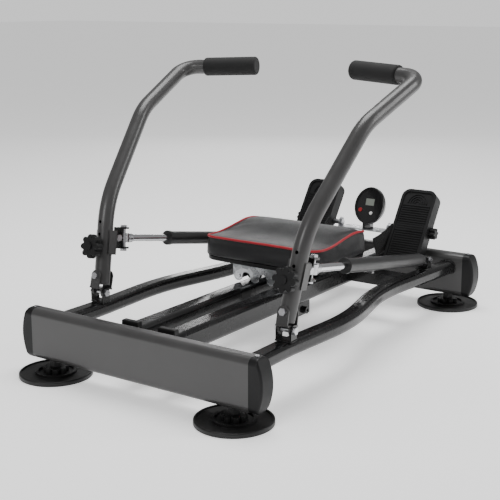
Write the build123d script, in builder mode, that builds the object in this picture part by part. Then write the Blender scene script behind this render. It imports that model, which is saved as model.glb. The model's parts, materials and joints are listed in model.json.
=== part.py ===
from build123d import *
import os
from math import atan2, cos, pi, radians, sin

# Hydraulic rowing machine with two swinging arms, a rolling seat and tilting footplates.
# +Z is up, +Y runs from the rear crossbar to the footplates, the machine stands on z = 0.
# The right hand side (+X) is drawn and the left hand side is its mirror image.

os.makedirs("parts", exist_ok=True)

# Fits shared by every sub-part
overrun = 6.0
running_fit = 0.05
play = 0.3
seam = 0.1

# Crossbars and their domed plastic ends
bar_spacing = 1029.4
bar_length = 600.0
bar_height = 117.0
bar_depth = 44.4
bar_corner = 15.0
bar_wall = 2.0
bar_underside = 34.3
cap_length = 33.0
cap_bulge = 15.0
cap_edge = 5.0
cap_plug_depth = 18.0
cap_screw_inset = 7.0
cap_screw_radius = 2.5
cap_screw_head_radius = 4.5
cap_screw_head_height = 2.4
cap_screw_depth = 16.0

# Levelling feet
foot_inset = 49.9
foot_radius = 83.7
foot_thickness = 10.0
foot_bead = 3.0
foot_ring_radius = 47.0
foot_ring_width = 7.0
foot_ring_height = 5.0
foot_star_radius = 30.0
foot_star_height = 13.0
foot_star_lobes = 8
foot_stem_radius = 8.0
foot_stem_rise = 26.0
foot_nut_radius = 14.0
foot_nut_height = 13.0

# Side rails, bent in plan
rail_width = 44.0
rail_height = 34.0
rail_corner = 12.0
rail_wall = 1.8
rail_top = 131.0
rail_rear_x = 265.0
rail_knee_y = -345.0
rail_wide_x = 282.0
rail_wide_y = -105.0
rail_narrow_x = 223.0
rail_narrow_y = 150.0
rail_front_x = 257.2
rail_bend = 600.0

# Seat track, two tubes side by side
track_spacing = 102.0
track_width = 51.5
track_height = 51.5
track_corner = 11.0
track_wall = 1.8
track_top = 141.5

# Welded cross members and the lug under the right track tube
member_y = 281.5
member_length = 51.0
member_height = 30.0
member_top = 130.0
lug_y = 50.0
lug_length = 50.0
lug_thickness = 4.0
lug_drop = 35.0
lug_boss_radius = 9.0
lug_boss_length = 22.0
lug_boss_drop = 23.0
lug_bore_radius = 4.0

# Bolts
bolt_radius = 5.0
bolt_hex = 8.6
bolt_head_height = 5.2
bolt_nut_height = 6.0

# Arm pivots
swing_height = 23.0
ear_radius = 12.0
ear_thickness = 3.5
ear_gap = 31.5
yoke_leg_thickness = 3.5
yoke_web_rise = 7.5
yoke_web_thickness = 3.5
yoke_plate_thickness = 3.5
yoke_plate_width = 28.0
spread_rise = 38.0
swing_yaw = 2.9
arm_pitch = 13.1
arm_lean = 6.0

# Arm tubes and grips
tube_radius = 19.0
tube_wall = 2.0
tube_foot = 20.5
tube_lower = 178.3
tube_middle = 278.0
tube_upper = 230.0
tube_grip = 202.0
tube_yaw = 8.6
tube_middle_tilt = 28.1
tube_upper_tilt = 52.3
tube_grip_sweep = 15.3
tube_bend_lower = 230.0
tube_bend_upper = 150.0
tube_bend_grip = 46.0
grip_radius = 24.0
grip_length = 147.0
grip_end = 8.0
grip_round = 6.0
peg_hole_radius = 4.0
peg_pitch = 30.0
peg_count = 2

# Resistance saddle on the arm, its knob and its pin
saddle_start = 52.0
saddle_length = 58.0
saddle_wall = 3.0
saddle_back = 6.0
saddle_corner = 5.0
saddle_pin_rise = 93.0
saddle_pin_reach = 34.0
tongue_width = 16.0
tongue_radius = 10.0
knob_rise = 69.0
knob_radius = 30.0
knob_lobes = 8
knob_thickness = 18.0
knob_neck_radius = 13.0
knob_neck_length = 14.0
knob_cap_radius = 9.0
knob_cap_height = 3.0
rim_round = 2.5
lobe_fill_share = 0.86

# Link that joins the arm to the piston rod
link_ear_thickness = 4.0
link_web_start = 10.5
link_web_thickness = 4.0
link_half_width = 13.0
link_height = 52.0
link_plate = 4.0
link_bolt_reach = 32.0

# Front swivel of each cylinder
swivel_x = 238.0
swivel_y = 388.0
swivel_rise = 23.0
swivel_plate_length = 58.0
swivel_plate_width = 34.0
swivel_plate_thickness = 3.0
swivel_base_thickness = 3.0
swivel_base_length = 30.0
swivel_ear_thickness = 3.0
swivel_ear_radius = 10.0
swivel_head_height = 4.4

# Hydraulic cylinder and rod
cylinder_radius = 17.0
cylinder_wall = 2.5
cylinder_start = 44.0
cylinder_floor = 8.0
cylinder_end = 480.0
cylinder_eye_width = 17.0
cylinder_eye_radius = 10.0
cylinder_neck_radius = 9.0
cylinder_neck_start = 18.0
gland_depth = 18.0
gland_radius = 18.5
gland_cap = 10.0
rod_radius = 9.0
rod_tip_radius = 5.0
rod_tip_length = 10.0
piston_start = 120.0
piston_length = 20.0
rod_eye_radius = 13.5
rod_eye_height = 22.0
rod_eye_play = 4.4
rod_neck_radius = 11.5
rod_neck_length = 24.0

# Seat cushion, its piping and its pan
seat_width = 352.0
seat_length = 274.0
seat_y = 65.0
seat_corner = 46.0
seat_draw_in = 5.0
seat_bow = 6.0
pan_rise = 51.5
pan_thickness = 10.0
pan_inset = 6.0
pan_edge = 3.0
cushion_rear_height = 58.0
cushion_dish_height = 54.0
cushion_ridge_height = 70.0
cushion_front_height = 50.0
cushion_crown = 8.0
piping_width = 7.0
dish_share = 0.30
ridge_share = 0.42
rear_fall_share = 0.12
front_fall_share = 0.75

# Seat carriage and rollers
carriage_rise = 48.5
carriage_sheet = 2.5
carriage_half_width = 90.0
carriage_length = 210.0
carriage_y = 62.5
lobe_pitch = 50.0
lobe_radius = 13.0
lobe_gap = 2.0
lobe_count = 4
lobe_rim = 2.0
lobe_hub_radius = 7.0
roller_radius = 20.0
roller_width = 24.0
roller_groove = 1.5
roller_spacing = 125.0
axle_radius = 5.0
axle_overhang = 6.0
rib_gap = 10.5
stop_height = 12.0
stop_length = 14.0
stop_width = 46.0
seat_travel_back = 425.0
seat_travel_front = 130.0

# Footplates
plate_y = 485.0
plate_z = 203.0
plate_slope = 55.4
plate_inner_x = 102.0
plate_width = 105.0
plate_below = 103.0
plate_above = 115.0
plate_face = 31.5
plate_depth = 36.0
plate_wall = 4.0
plate_skin = 6.0
plate_border = 8.0
plate_recess = 3.0
plate_top_corner = 24.0
plate_bottom_corner = 9.0
tread_pitch = 7.0
tread_width = 2.8
tread_height = 2.2
tread_arc_count = 4
tread_arc_drop = 42.0
hub_half = 12.0
stub_radius = 7.0
stub_head_radius = 10.0
stub_head_height = 4.0
wing_knob_radius = 17.0
wing_knob_length = 16.0
wing_knob_lobes = 6
strap_width = 58.0
strap_thickness = 3.0
strap_reach = 84.0
strap_flare = 20.0
strap_root = 22.0
strap_droop = 58.0
strap_centre = 12.0

# Stand that carries the footplates and the display
stand_sheet = 3.0
stand_rear_y = 468.0
stand_front_y = 525.0
stand_bottom = 100.0
stand_head_radius = 15.0
shelf_top = 190.5
shelf_sheet = 2.5
shelf_length = 47.0
slot_length = 14.0
slot_width = 3.0
slot_pitch = 22.0
slot_count = 5
slot_inset = 7.0

# Display
display_y = 515.0
display_z = 254.0
display_tilt = 20.0
display_half_width = 47.5
display_half_height = 54.5
display_back_depth = 26.0
display_back_share = 0.62
display_bulge_share = 0.10
display_front_depth = 9.0
display_rim = 6.0
display_recess = 3.0
display_wall = 2.5
display_edge = 2.5
neck_width = 26.0
neck_length = 18.0
screen_width = 27.0
screen_height = 20.0
screen_rise = 10.0
screen_thickness = 1.6
reset_radius = 5.0
reset_x = 9.0
reset_drop = 22.0
mode_radius = 6.0
mode_x = 27.0
mode_drop = 15.0
button_proud = 2.4
button_collar = 1.2
button_edge = 0.8


def save(piece, label):
    """Name a finished piece and write its file."""
    piece.part.label = label
    export_step(piece.part, f"parts/{label}.step")


def save_pair(piece, label):
    """Write a right hand piece and its mirror image."""
    with BuildPart() as twin:
        mirror(piece.part, about=Plane.YZ)
    save(piece, f"{label}_right")
    save(twin, f"{label}_left")


def at(x, y, z):
    """Level plane through a point of the machine."""
    return Plane(origin=(x, y, z), x_dir=(1, 0, 0), z_dir=(0, 0, 1))


def top_of(frame, x=0.0, y=0.0, z=0.0):
    """Plane that faces along a frame's own Z, through a point of that frame."""
    return Plane(origin=frame.from_local_coords((x, y, z)), x_dir=frame.x_dir, z_dir=frame.z_dir)


def side_of(frame, x=0.0, y=0.0, z=0.0):
    """Plane that faces along a frame's own X: its sketches lie in the frame's Y and Z."""
    return Plane(origin=frame.from_local_coords((x, y, z)), x_dir=frame.y_dir, z_dir=frame.x_dir)


def front_of(frame, x=0.0, y=0.0, z=0.0):
    """Plane that faces along a frame's own Y: its sketches lie in the frame's -X and Z."""
    return Plane(origin=frame.from_local_coords((x, y, z)), x_dir=-frame.x_dir, z_dir=frame.y_dir)


def disc(plane, radius, length, mode=Mode.ADD):
    """Round bar or, with Mode.SUBTRACT, round hole from a plane."""
    with BuildSketch(plane) as outline:
        Circle(radius)
    extrude(outline.sketch, amount=length, mode=mode)


def block(plane, width, height, length, mode=Mode.ADD):
    """Rectangular bar from a plane."""
    with BuildSketch(plane) as outline:
        Rectangle(width, height)
    extrude(outline.sketch, amount=length, mode=mode)


def hexagon(plane, radius, length):
    """Hexagonal head or nut from a plane."""
    with BuildSketch(plane) as outline:
        RegularPolygon(radius, 6)
    extrude(outline.sketch, amount=length)


def hex_bolt(plane, grip):
    """Hexagon bolt along a plane's normal, head behind the plane and nut past the grip."""
    disc(plane, bolt_radius, grip + bolt_nut_height)
    hexagon(plane, bolt_hex, -bolt_head_height)
    hexagon(plane.offset(grip), bolt_hex, bolt_nut_height)


def star(radius, lobes):
    """Outline of a star knob: round lobes around a disc, in the open sketch."""
    lobe = radius * sin(pi / lobes) / (1 + sin(pi / lobes))
    Circle(radius - lobe)
    with PolarLocations(radius - lobe, lobes):
        Circle(lobe * lobe_fill_share)


# Places worked out from the sizes above
bar_y = bar_spacing / 2
bar_face = bar_y - bar_depth / 2
bar_middle = bar_underside + bar_height / 2
bar_top = bar_underside + bar_height
rail_middle = rail_top - rail_height / 2
track_middle = track_top - track_height / 2
track_x = track_spacing / 2
track_flank = track_x + track_width / 2
foot_x = bar_length / 2 - foot_inset
pan_bottom = track_top + pan_rise
carriage_top = track_top + carriage_rise
lobe_bottom = track_top + lobe_gap
rib_bottom = track_top + rib_gap


def crossbar(y):
    """Rounded rectangular tube across the machine, with a nut welded in above each foot."""
    section = Plane(origin=(-bar_length / 2, y, bar_middle), x_dir=(0, 1, 0), z_dir=(1, 0, 0))
    with BuildPart() as bar:
        with BuildSketch(section):
            RectangleRounded(bar_depth, bar_height, bar_corner)
            offset(amount=-bar_wall, mode=Mode.SUBTRACT)
        extrude(amount=bar_length)
        for x in (-foot_x, foot_x):
            disc(at(x, y, bar_underside + bar_wall / 2), foot_nut_radius, foot_nut_height)
            disc(at(x, y, bar_underside - overrun), foot_stem_radius + running_fit,
                 foot_nut_height + bar_wall + 2 * overrun, Mode.SUBTRACT)
    return bar


save(crossbar(-bar_y), "rear_crossbar")
save(crossbar(bar_y), "front_crossbar")


def end_cap(y):
    """Domed plastic end of a crossbar, with the plug that holds it in the tube."""
    section = Plane(origin=(bar_length / 2, y, bar_middle), x_dir=(0, 1, 0), z_dir=(1, 0, 0))
    outline = Plane(origin=(bar_length / 2, y, bar_middle), x_dir=(1, 0, 0), z_dir=(0, -1, 0))
    with BuildPart() as cap:
        with BuildSketch(section):
            RectangleRounded(bar_depth, bar_height, bar_corner)
        extrude(amount=cap_length)
        with BuildSketch(outline):
            with BuildLine():
                top = (cap_length - cap_bulge, bar_height / 2)
                low = (cap_length - cap_bulge, -bar_height / 2)
                Polyline(low, (0, -bar_height / 2), (0, bar_height / 2), top)
                ThreePointArc(top, (cap_length, 0), low)
            make_face()
        extrude(amount=bar_depth, both=True, mode=Mode.INTERSECT)
        fillet(cap.faces().sort_by(Axis.X)[-1].edges(), cap_edge)
        with BuildSketch(section):
            RectangleRounded(bar_depth - 2 * bar_wall - 2 * play, bar_height - 2 * bar_wall - 2 * play,
                             bar_corner - bar_wall)
            offset(amount=-bar_wall, mode=Mode.SUBTRACT)
        extrude(amount=-cap_plug_depth)
        disc(at(bar_length / 2 + cap_screw_inset, y, bar_top - cap_screw_depth), cap_screw_radius + running_fit,
             cap_screw_depth + overrun, Mode.SUBTRACT)
    return cap


with BuildPart() as end_caps:
    for bar_end in (end_cap(-bar_y), end_cap(bar_y)):
        add(bar_end.part)
        mirror(bar_end.part, about=Plane.YZ)
save(end_caps, "end_caps")


def foot(x, y):
    """Round rubber foot with its star adjuster, and the threaded stem above it."""
    star_base = foot_thickness - foot_bead
    shoulder = star_base + foot_star_height
    with BuildPart() as pad:
        disc(at(x, y, 0), foot_radius, foot_thickness)
        fillet(pad.edges().sort_by(Axis.Z)[-1], foot_bead)
        disc(at(x, y, star_base), foot_radius - 2 * foot_bead, foot_bead, Mode.SUBTRACT)
        with BuildSketch(at(x, y, star_base)):
            Circle(foot_ring_radius)
            Circle(foot_ring_radius - foot_ring_width, mode=Mode.SUBTRACT)
        extrude(amount=foot_ring_height)
        with BuildSketch(at(x, y, star_base)):
            star(foot_star_radius, foot_star_lobes)
        extrude(amount=foot_star_height)
        disc(at(x, y, star_base), foot_stem_radius + running_fit, foot_star_height + overrun, Mode.SUBTRACT)
        disc(at(x, y, star_base + seam), foot_stem_radius, bar_underside + foot_stem_rise - star_base)
        hexagon(at(x, y, shoulder + seam), foot_nut_radius, bar_underside - play - shoulder - seam)
    return pad


for y, end in ((-bar_y, "rear"), (bar_y, "front")):
    save(foot(-foot_x, y), f"foot_{end}_left")
    save(foot(foot_x, y), f"foot_{end}_right")

# Side rail: four straight runs joined by wide bends, cut square at the front crossbar
rail_start = Plane(origin=(rail_rear_x, -bar_face, rail_middle), x_dir=(1, 0, 0), z_dir=(0, 1, 0))
rail_slope = (rail_front_x - rail_narrow_x) / (bar_face - rail_narrow_y)


def rail_x(y):
    """Centre of the front run of the side rail."""
    return rail_narrow_x + rail_slope * (y - rail_narrow_y)


def side_rail(hollow):
    """The bent rail, as a tube or as its outer shape alone."""
    with BuildPart() as rail:
        with BuildLine() as route:
            FilletPolyline((rail_rear_x, -bar_face, rail_middle), (rail_rear_x, rail_knee_y, rail_middle),
                           (rail_wide_x, rail_wide_y, rail_middle), (rail_narrow_x, rail_narrow_y, rail_middle),
                           (rail_x(bar_face + overrun), bar_face + overrun, rail_middle), radius=rail_bend)
        with BuildSketch(rail_start):
            RectangleRounded(rail_width, rail_height, rail_corner)
            if hollow:
                offset(amount=-rail_wall, mode=Mode.SUBTRACT)
        sweep(path=route.wires()[0])
        split(bisect_by=Plane(origin=(0, bar_face, 0), z_dir=(0, 1, 0)), keep=Keep.BOTTOM)
    return rail


save_pair(side_rail(True), "side_rail")

with BuildPart() as track_tubes:
    with BuildSketch(Plane(origin=(0, -bar_face, track_middle), x_dir=(1, 0, 0), z_dir=(0, 1, 0))):
        with Locations((-track_x, 0), (track_x, 0)):
            RectangleRounded(track_width, track_height, track_corner)
        with Locations((-track_x, 0), (track_x, 0)):
            RectangleRounded(track_width - 2 * track_wall, track_height - 2 * track_wall,
                             track_corner - track_wall, mode=Mode.SUBTRACT)
    extrude(amount=2 * bar_face)
save(track_tubes, "track_tubes")

# Tubes welded between the track and the side rails, and the lug under the right track tube
rail_body = side_rail(False)
with BuildPart() as member:
    with BuildSketch(Plane(origin=(track_flank, member_y, member_top - member_height / 2), x_dir=(0, 1, 0),
                           z_dir=(1, 0, 0))):
        Rectangle(member_length, member_height)
        offset(amount=-rail_wall, kind=Kind.INTERSECTION, mode=Mode.SUBTRACT)
    extrude(amount=rail_x(member_y) - track_flank)
    add(rail_body.part, mode=Mode.SUBTRACT)
with BuildPart() as cross_members:
    add(member.part.solids().sort_by(Axis.X)[0])
    mirror(member.part.solids().sort_by(Axis.X)[0], about=Plane.YZ)
    lug_x = track_x + track_width / 4
    track_bottom = track_top - track_height
    block(at(lug_x, lug_y, track_bottom), lug_thickness, lug_length, -lug_drop)
    boss = Plane(origin=(lug_x - lug_boss_length / 2, lug_y, track_bottom - lug_boss_drop), z_dir=(1, 0, 0))
    disc(boss, lug_boss_radius, lug_boss_length)
    disc(boss.offset(-overrun), lug_bore_radius, lug_boss_length + 2 * overrun, Mode.SUBTRACT)
save(cross_members, "cross_members")

# Frames of the right arm: yoke on the swing bolt, then the arm on the spread bolt
turn = radians(swing_yaw)
pitch = radians(arm_pitch)
lean = radians(arm_lean)
swing_frame = Plane(origin=(rail_rear_x, rail_knee_y, rail_top + swing_height), x_dir=(cos(turn), sin(turn), 0),
                    z_dir=(0, 0, 1))
yoke_frame = Plane(origin=swing_frame.origin, x_dir=swing_frame.x_dir,
                   z_dir=swing_frame.y_dir * sin(pitch) + swing_frame.z_dir * cos(pitch))
arm_up = yoke_frame.z_dir * cos(lean) + yoke_frame.x_dir * sin(lean)
arm_side = yoke_frame.x_dir * cos(lean) - yoke_frame.z_dir * sin(lean)
arm_frame = Plane(origin=yoke_frame.from_local_coords((0, 0, spread_rise)), x_dir=arm_side, z_dir=arm_up)

# Frames of the link, the swivel, the cylinder and the rod's eye
swivel_point = Vector(swivel_x, swivel_y, rail_top + swivel_rise)
pin_point = arm_frame.from_local_coords((0, saddle_pin_reach, saddle_pin_rise))
run = swivel_point - pin_point
link_fall = atan2(run.Z, run.Y)
link_ahead = Vector(0, cos(link_fall), sin(link_fall))
link_up = arm_side.cross(link_ahead).normalized()
link_frame = Plane(origin=pin_point, x_dir=arm_side, z_dir=link_up)
eye_point = link_frame.from_local_coords((0, link_bolt_reach, 0))
rod_dir = (eye_point - swivel_point).normalized()
rod_length = (eye_point - swivel_point).length
pin_dir = Vector(-rod_dir.Y, rod_dir.X, 0).normalized()
swivel_frame = Plane(origin=swivel_point, x_dir=pin_dir, z_dir=(0, 0, 1))
cylinder_frame = Plane(origin=swivel_point, x_dir=pin_dir, z_dir=rod_dir)
eye_side = link_up.cross(rod_dir).normalized()
eye_frame = Plane(origin=eye_point, x_dir=eye_side, z_dir=rod_dir)
print("swing pivot", swing_frame.origin, "spread pivot", arm_frame.origin)
print("spread axis", yoke_frame.y_dir, "arm up", arm_up, "arm side", arm_side)
print("link pin", pin_point, "eye", eye_point, "rod direction", rod_dir, "rod length", rod_length)
print("swivel point", swivel_point, "pin direction", pin_dir, "knob", front_of(arm_frame, 0, 0, knob_rise).origin)


def ear(frame, x, radius, thickness, depth):
    """Upright lug with a round top, from a plane across the frame's X."""
    with BuildSketch(side_of(frame, x)) as outline:
        Circle(radius)
        with Locations((0, -depth / 2)):
            Rectangle(2 * radius, depth)
    extrude(outline.sketch, amount=thickness)


# Brackets welded on the side rails: ears of the arm pivot and plate of the front swivel
with BuildPart() as bracket:
    block(top_of(swing_frame, z=-swing_height), ear_gap + 2 * ear_thickness, 2 * ear_radius, ear_thickness)
    for x in (ear_gap / 2, -ear_gap / 2 - ear_thickness):
        ear(swing_frame, x, ear_radius, ear_thickness, swing_height)
    disc(side_of(swing_frame, -ear_gap), bolt_radius + running_fit, 2 * ear_gap, Mode.SUBTRACT)
with BuildPart() as swivel_plate:
    block(at(swivel_x, swivel_y, rail_top), swivel_plate_width, swivel_plate_length, swivel_plate_thickness)
    fillet(swivel_plate.edges().filter_by(Axis.Z), 2 * swivel_plate_thickness)
    disc(at(swivel_x, swivel_y, rail_top - overrun), bolt_radius + running_fit, 2 * overrun + swivel_plate_thickness,
         Mode.SUBTRACT)
with BuildPart() as rail_brackets:
    for piece in (bracket, swivel_plate):
        add(piece.part)
        mirror(piece.part, about=Plane.YZ)
save(rail_brackets, "rail_brackets")

# Bolts that the frame carries: swing bolts, swivel studs and the screws of the end caps
bracket_half = ear_gap / 2 + ear_thickness
swivel_floor = rail_top + swivel_plate_thickness + play
with BuildPart() as right_bolts:
    hex_bolt(side_of(swing_frame, -bracket_half - seam), 2 * (bracket_half + seam))
    disc(at(swivel_x, swivel_y, rail_top + seam), bolt_radius,
         swivel_floor + swivel_base_thickness + play - rail_top)
    hexagon(at(swivel_x, swivel_y, swivel_floor + swivel_base_thickness + play), bolt_hex, swivel_head_height)
    for y in (-bar_y, bar_y):
        screw_x = bar_length / 2 + cap_screw_inset
        disc(at(screw_x, y, bar_top + seam), cap_screw_radius, -cap_screw_depth / 2)
        disc(at(screw_x, y, bar_top + seam), cap_screw_head_radius, cap_screw_head_height)
with BuildPart() as frame_bolts:
    add(right_bolts.part)
    mirror(right_bolts.part, about=Plane.YZ)
save(frame_bolts, "frame_bolts")

# Yoke: two legs on the swing bolt, a web, and two plates that straddle the foot of the arm
leg_face = ear_gap / 2 - play
plate_face_gap = tube_radius + play
with BuildPart() as yoke:
    for x in (leg_face - yoke_leg_thickness, -leg_face):
        with BuildSketch(side_of(yoke_frame, x)):
            Circle(ear_radius - play)
            with Locations((0, yoke_web_rise / 2)):
                Rectangle(2 * (ear_radius - play), yoke_web_rise)
        extrude(amount=yoke_leg_thickness)
    plate_reach = plate_face_gap + yoke_plate_thickness
    block(top_of(yoke_frame, z=yoke_web_rise), 2 * leg_face, 2 * plate_reach, yoke_web_thickness)
    for y in (plate_face_gap, -plate_reach):
        with BuildSketch(front_of(yoke_frame, y=y)):
            with Locations((0, spread_rise)):
                Circle(yoke_plate_width / 2)
            with Locations((0, (spread_rise + yoke_web_rise) / 2)):
                Rectangle(yoke_plate_width, spread_rise - yoke_web_rise)
        extrude(amount=yoke_plate_thickness)
    disc(side_of(yoke_frame, -ear_gap), bolt_radius + running_fit, 2 * ear_gap, Mode.SUBTRACT)
    disc(front_of(yoke_frame, y=-2 * plate_reach, z=spread_rise), bolt_radius + running_fit, 4 * plate_reach,
         Mode.SUBTRACT)
save_pair(yoke, "yoke")

with BuildPart() as spread_bolt:
    hex_bolt(front_of(yoke_frame, y=-plate_reach - seam, z=spread_rise), 2 * (plate_reach + seam))
save_pair(spread_bolt, "spread_bolt")

# Arm tube: straight foot, two bends forward and up, then the elbow in to the grip
yaw = radians(tube_yaw)


def in_bend_plane(ahead, up):
    """Point of the arm's frame from its place in the plane of the two forward bends."""
    return Vector(ahead * sin(yaw), ahead * cos(yaw), up)


middle_ahead = tube_middle * sin(radians(tube_middle_tilt))
middle_up = tube_lower + tube_middle * cos(radians(tube_middle_tilt))
upper_ahead = middle_ahead + tube_upper * sin(radians(tube_upper_tilt))
upper_up = middle_up + tube_upper * cos(radians(tube_upper_tilt))
sweep_back = radians(tube_grip_sweep)
elbow = in_bend_plane(upper_ahead, upper_up)
grip_dir = Vector(-cos(sweep_back), sin(sweep_back), 0)
tube_points = [Vector(0, 0, -tube_foot), Vector(0, 0, tube_lower), in_bend_plane(middle_ahead, middle_up), elbow,
               elbow + grip_dir * tube_grip]
tube_route = [arm_frame.from_local_coords(point) for point in tube_points]
grip_axis = (tube_route[4] - tube_route[3]).normalized()
for point in tube_route:
    print("arm tube point", point)

with BuildPart() as arm_tube:
    with BuildLine() as route:
        FilletPolyline(*tube_route, radius=[tube_bend_lower, tube_bend_upper, tube_bend_grip])
    with BuildSketch(top_of(arm_frame, z=-tube_foot)):
        Circle(tube_radius)
        Circle(tube_radius - tube_wall, mode=Mode.SUBTRACT)
    sweep(path=route.wires()[0])
    disc(front_of(arm_frame, y=-2 * tube_radius), bolt_radius + running_fit, 4 * tube_radius, Mode.SUBTRACT)
    disc(front_of(arm_frame, y=-2 * tube_radius, z=knob_rise), bolt_radius + running_fit, 4 * tube_radius,
         Mode.SUBTRACT)
    for number in range(peg_count):
        rise = knob_rise + (number + 1) * peg_pitch
        disc(front_of(arm_frame, y=-2 * tube_radius, z=rise), peg_hole_radius, 2 * tube_radius, Mode.SUBTRACT)
save_pair(arm_tube, "arm_tube")

grip_open = tube_grip + grip_end - grip_length
with BuildPart() as grip:
    grip_plane = Plane(origin=tube_route[3] + grip_axis * grip_open, z_dir=grip_axis)
    disc(grip_plane, grip_radius, grip_length)
    fillet(grip.edges().filter_by(GeomType.CIRCLE), grip_round)
    disc(grip_plane.offset(-overrun), tube_radius + running_fit, grip_length - grip_end + overrun + seam,
         Mode.SUBTRACT)
save_pair(grip, "grip")

# Saddle: a channel that hugs the tube from the front, with a tongue for the link's pin
with BuildPart() as saddle:
    outer = tube_radius + saddle_wall
    with BuildSketch(top_of(arm_frame, z=saddle_start)):
        with Locations((0, (outer - saddle_back) / 2)):
            Rectangle(2 * outer, outer + saddle_back)
        fillet(vertices().group_by(Axis.Y)[-1], saddle_corner)
        Circle(tube_radius + running_fit, mode=Mode.SUBTRACT)
        with Locations((0, -outer / 2)):
            Rectangle(2 * (tube_radius + running_fit), outer, mode=Mode.SUBTRACT)
    extrude(amount=saddle_length)
    with BuildSketch(side_of(arm_frame, -tongue_width / 2)):
        with Locations((saddle_pin_reach, saddle_pin_rise)):
            Circle(tongue_radius)
        with Locations(((saddle_pin_reach + outer - saddle_wall / 2) / 2, saddle_pin_rise)):
            Rectangle(saddle_pin_reach - outer + saddle_wall / 2, 2 * tongue_radius)
    extrude(amount=tongue_width)
    disc(side_of(arm_frame, -tongue_width, saddle_pin_reach, saddle_pin_rise), bolt_radius + running_fit,
         2 * tongue_width, Mode.SUBTRACT)
    disc(front_of(arm_frame, y=0, z=knob_rise), bolt_radius + running_fit, 2 * outer, Mode.SUBTRACT)
save_pair(saddle, "saddle")

# Star knob behind the arm, with the screw that passes through the tube into the saddle
with BuildPart() as saddle_knob:
    knob_seat = front_of(arm_frame, y=-tube_radius - play, z=knob_rise)
    disc(knob_seat, knob_neck_radius, -knob_neck_length)
    with BuildSketch(knob_seat.offset(-knob_neck_length)) as outline:
        star(knob_radius, knob_lobes)
    extrude(outline.sketch, amount=-knob_thickness)
    fillet(saddle_knob.faces().sort_by(Axis(knob_seat.origin, knob_seat.z_dir))[0].edges(), rim_round)
    disc(knob_seat.offset(-knob_neck_length - knob_thickness), knob_cap_radius, -knob_cap_height)
    disc(knob_seat, bolt_radius, 2 * tube_radius + saddle_wall)
save_pair(saddle_knob, "saddle_knob")

# Link: ears on the saddle's tongue, a web, and two plates over and under the rod's eye
with BuildPart() as link:
    ear_inner = tongue_width / 2 + play
    for x in (ear_inner, -ear_inner - link_ear_thickness):
        with BuildSketch(side_of(link_frame, x)):
            Circle(tongue_radius)
            with Locations(((link_web_start + link_web_thickness) / 2, 0)):
                Rectangle(link_web_start + link_web_thickness, 2 * tongue_radius)
        extrude(amount=link_ear_thickness)
    web_middle = link_web_start + link_web_thickness / 2
    block(top_of(link_frame, y=web_middle, z=-link_height / 2), 2 * link_half_width, link_web_thickness, link_height)
    for z in (link_height / 2 - link_plate, -link_height / 2):
        with BuildSketch(top_of(link_frame, z=z)):
            with Locations((0, link_bolt_reach)):
                Circle(link_half_width)
            with Locations((0, (link_web_start + link_bolt_reach) / 2)):
                Rectangle(2 * link_half_width, link_bolt_reach - link_web_start)
        extrude(amount=link_plate)
    disc(side_of(link_frame, -2 * link_half_width), bolt_radius + running_fit, 4 * link_half_width, Mode.SUBTRACT)
    disc(top_of(link_frame, y=link_bolt_reach, z=-link_height), bolt_radius + running_fit, 2 * link_height,
         Mode.SUBTRACT)
save_pair(link, "link")

with BuildPart() as link_bolts:
    ear_outer = ear_inner + link_ear_thickness + seam
    hex_bolt(side_of(link_frame, -ear_outer), 2 * ear_outer)
    bolt_head = link_frame.from_local_coords((0, link_bolt_reach, link_height / 2 + seam))
    hex_bolt(Plane(origin=bolt_head, x_dir=arm_side, z_dir=-link_up), link_height + 2 * seam)
save_pair(link_bolts, "link_bolts")

# Eye at the end of the piston rod, loose on the link's bolt
with BuildPart() as rod_eye:
    eye_axis = Plane(origin=eye_point, x_dir=eye_frame.x_dir, z_dir=eye_frame.z_dir.cross(eye_frame.x_dir))
    disc(eye_axis.offset(-rod_eye_height / 2), rod_eye_radius, rod_eye_height)
    disc(eye_frame.offset(-rod_neck_length), rod_neck_radius, rod_neck_length)
    disc(eye_axis.offset(-rod_eye_height), bolt_radius + rod_eye_play, 2 * rod_eye_height, Mode.SUBTRACT)
    disc(eye_frame.offset(-rod_neck_length - overrun), rod_tip_radius + running_fit, rod_tip_length + overrun,
         Mode.SUBTRACT)
save_pair(rod_eye, "rod_eye")

# Piston rod and piston
with BuildPart() as piston_rod:
    rod_end = rod_length - rod_neck_length - play
    disc(cylinder_frame.offset(piston_start), cylinder_radius - cylinder_wall - running_fit, piston_length)
    disc(cylinder_frame.offset(piston_start), rod_radius, rod_end - piston_start)
    disc(cylinder_frame.offset(rod_end), rod_tip_radius, rod_tip_length - play)
save_pair(piston_rod, "piston_rod")

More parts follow.
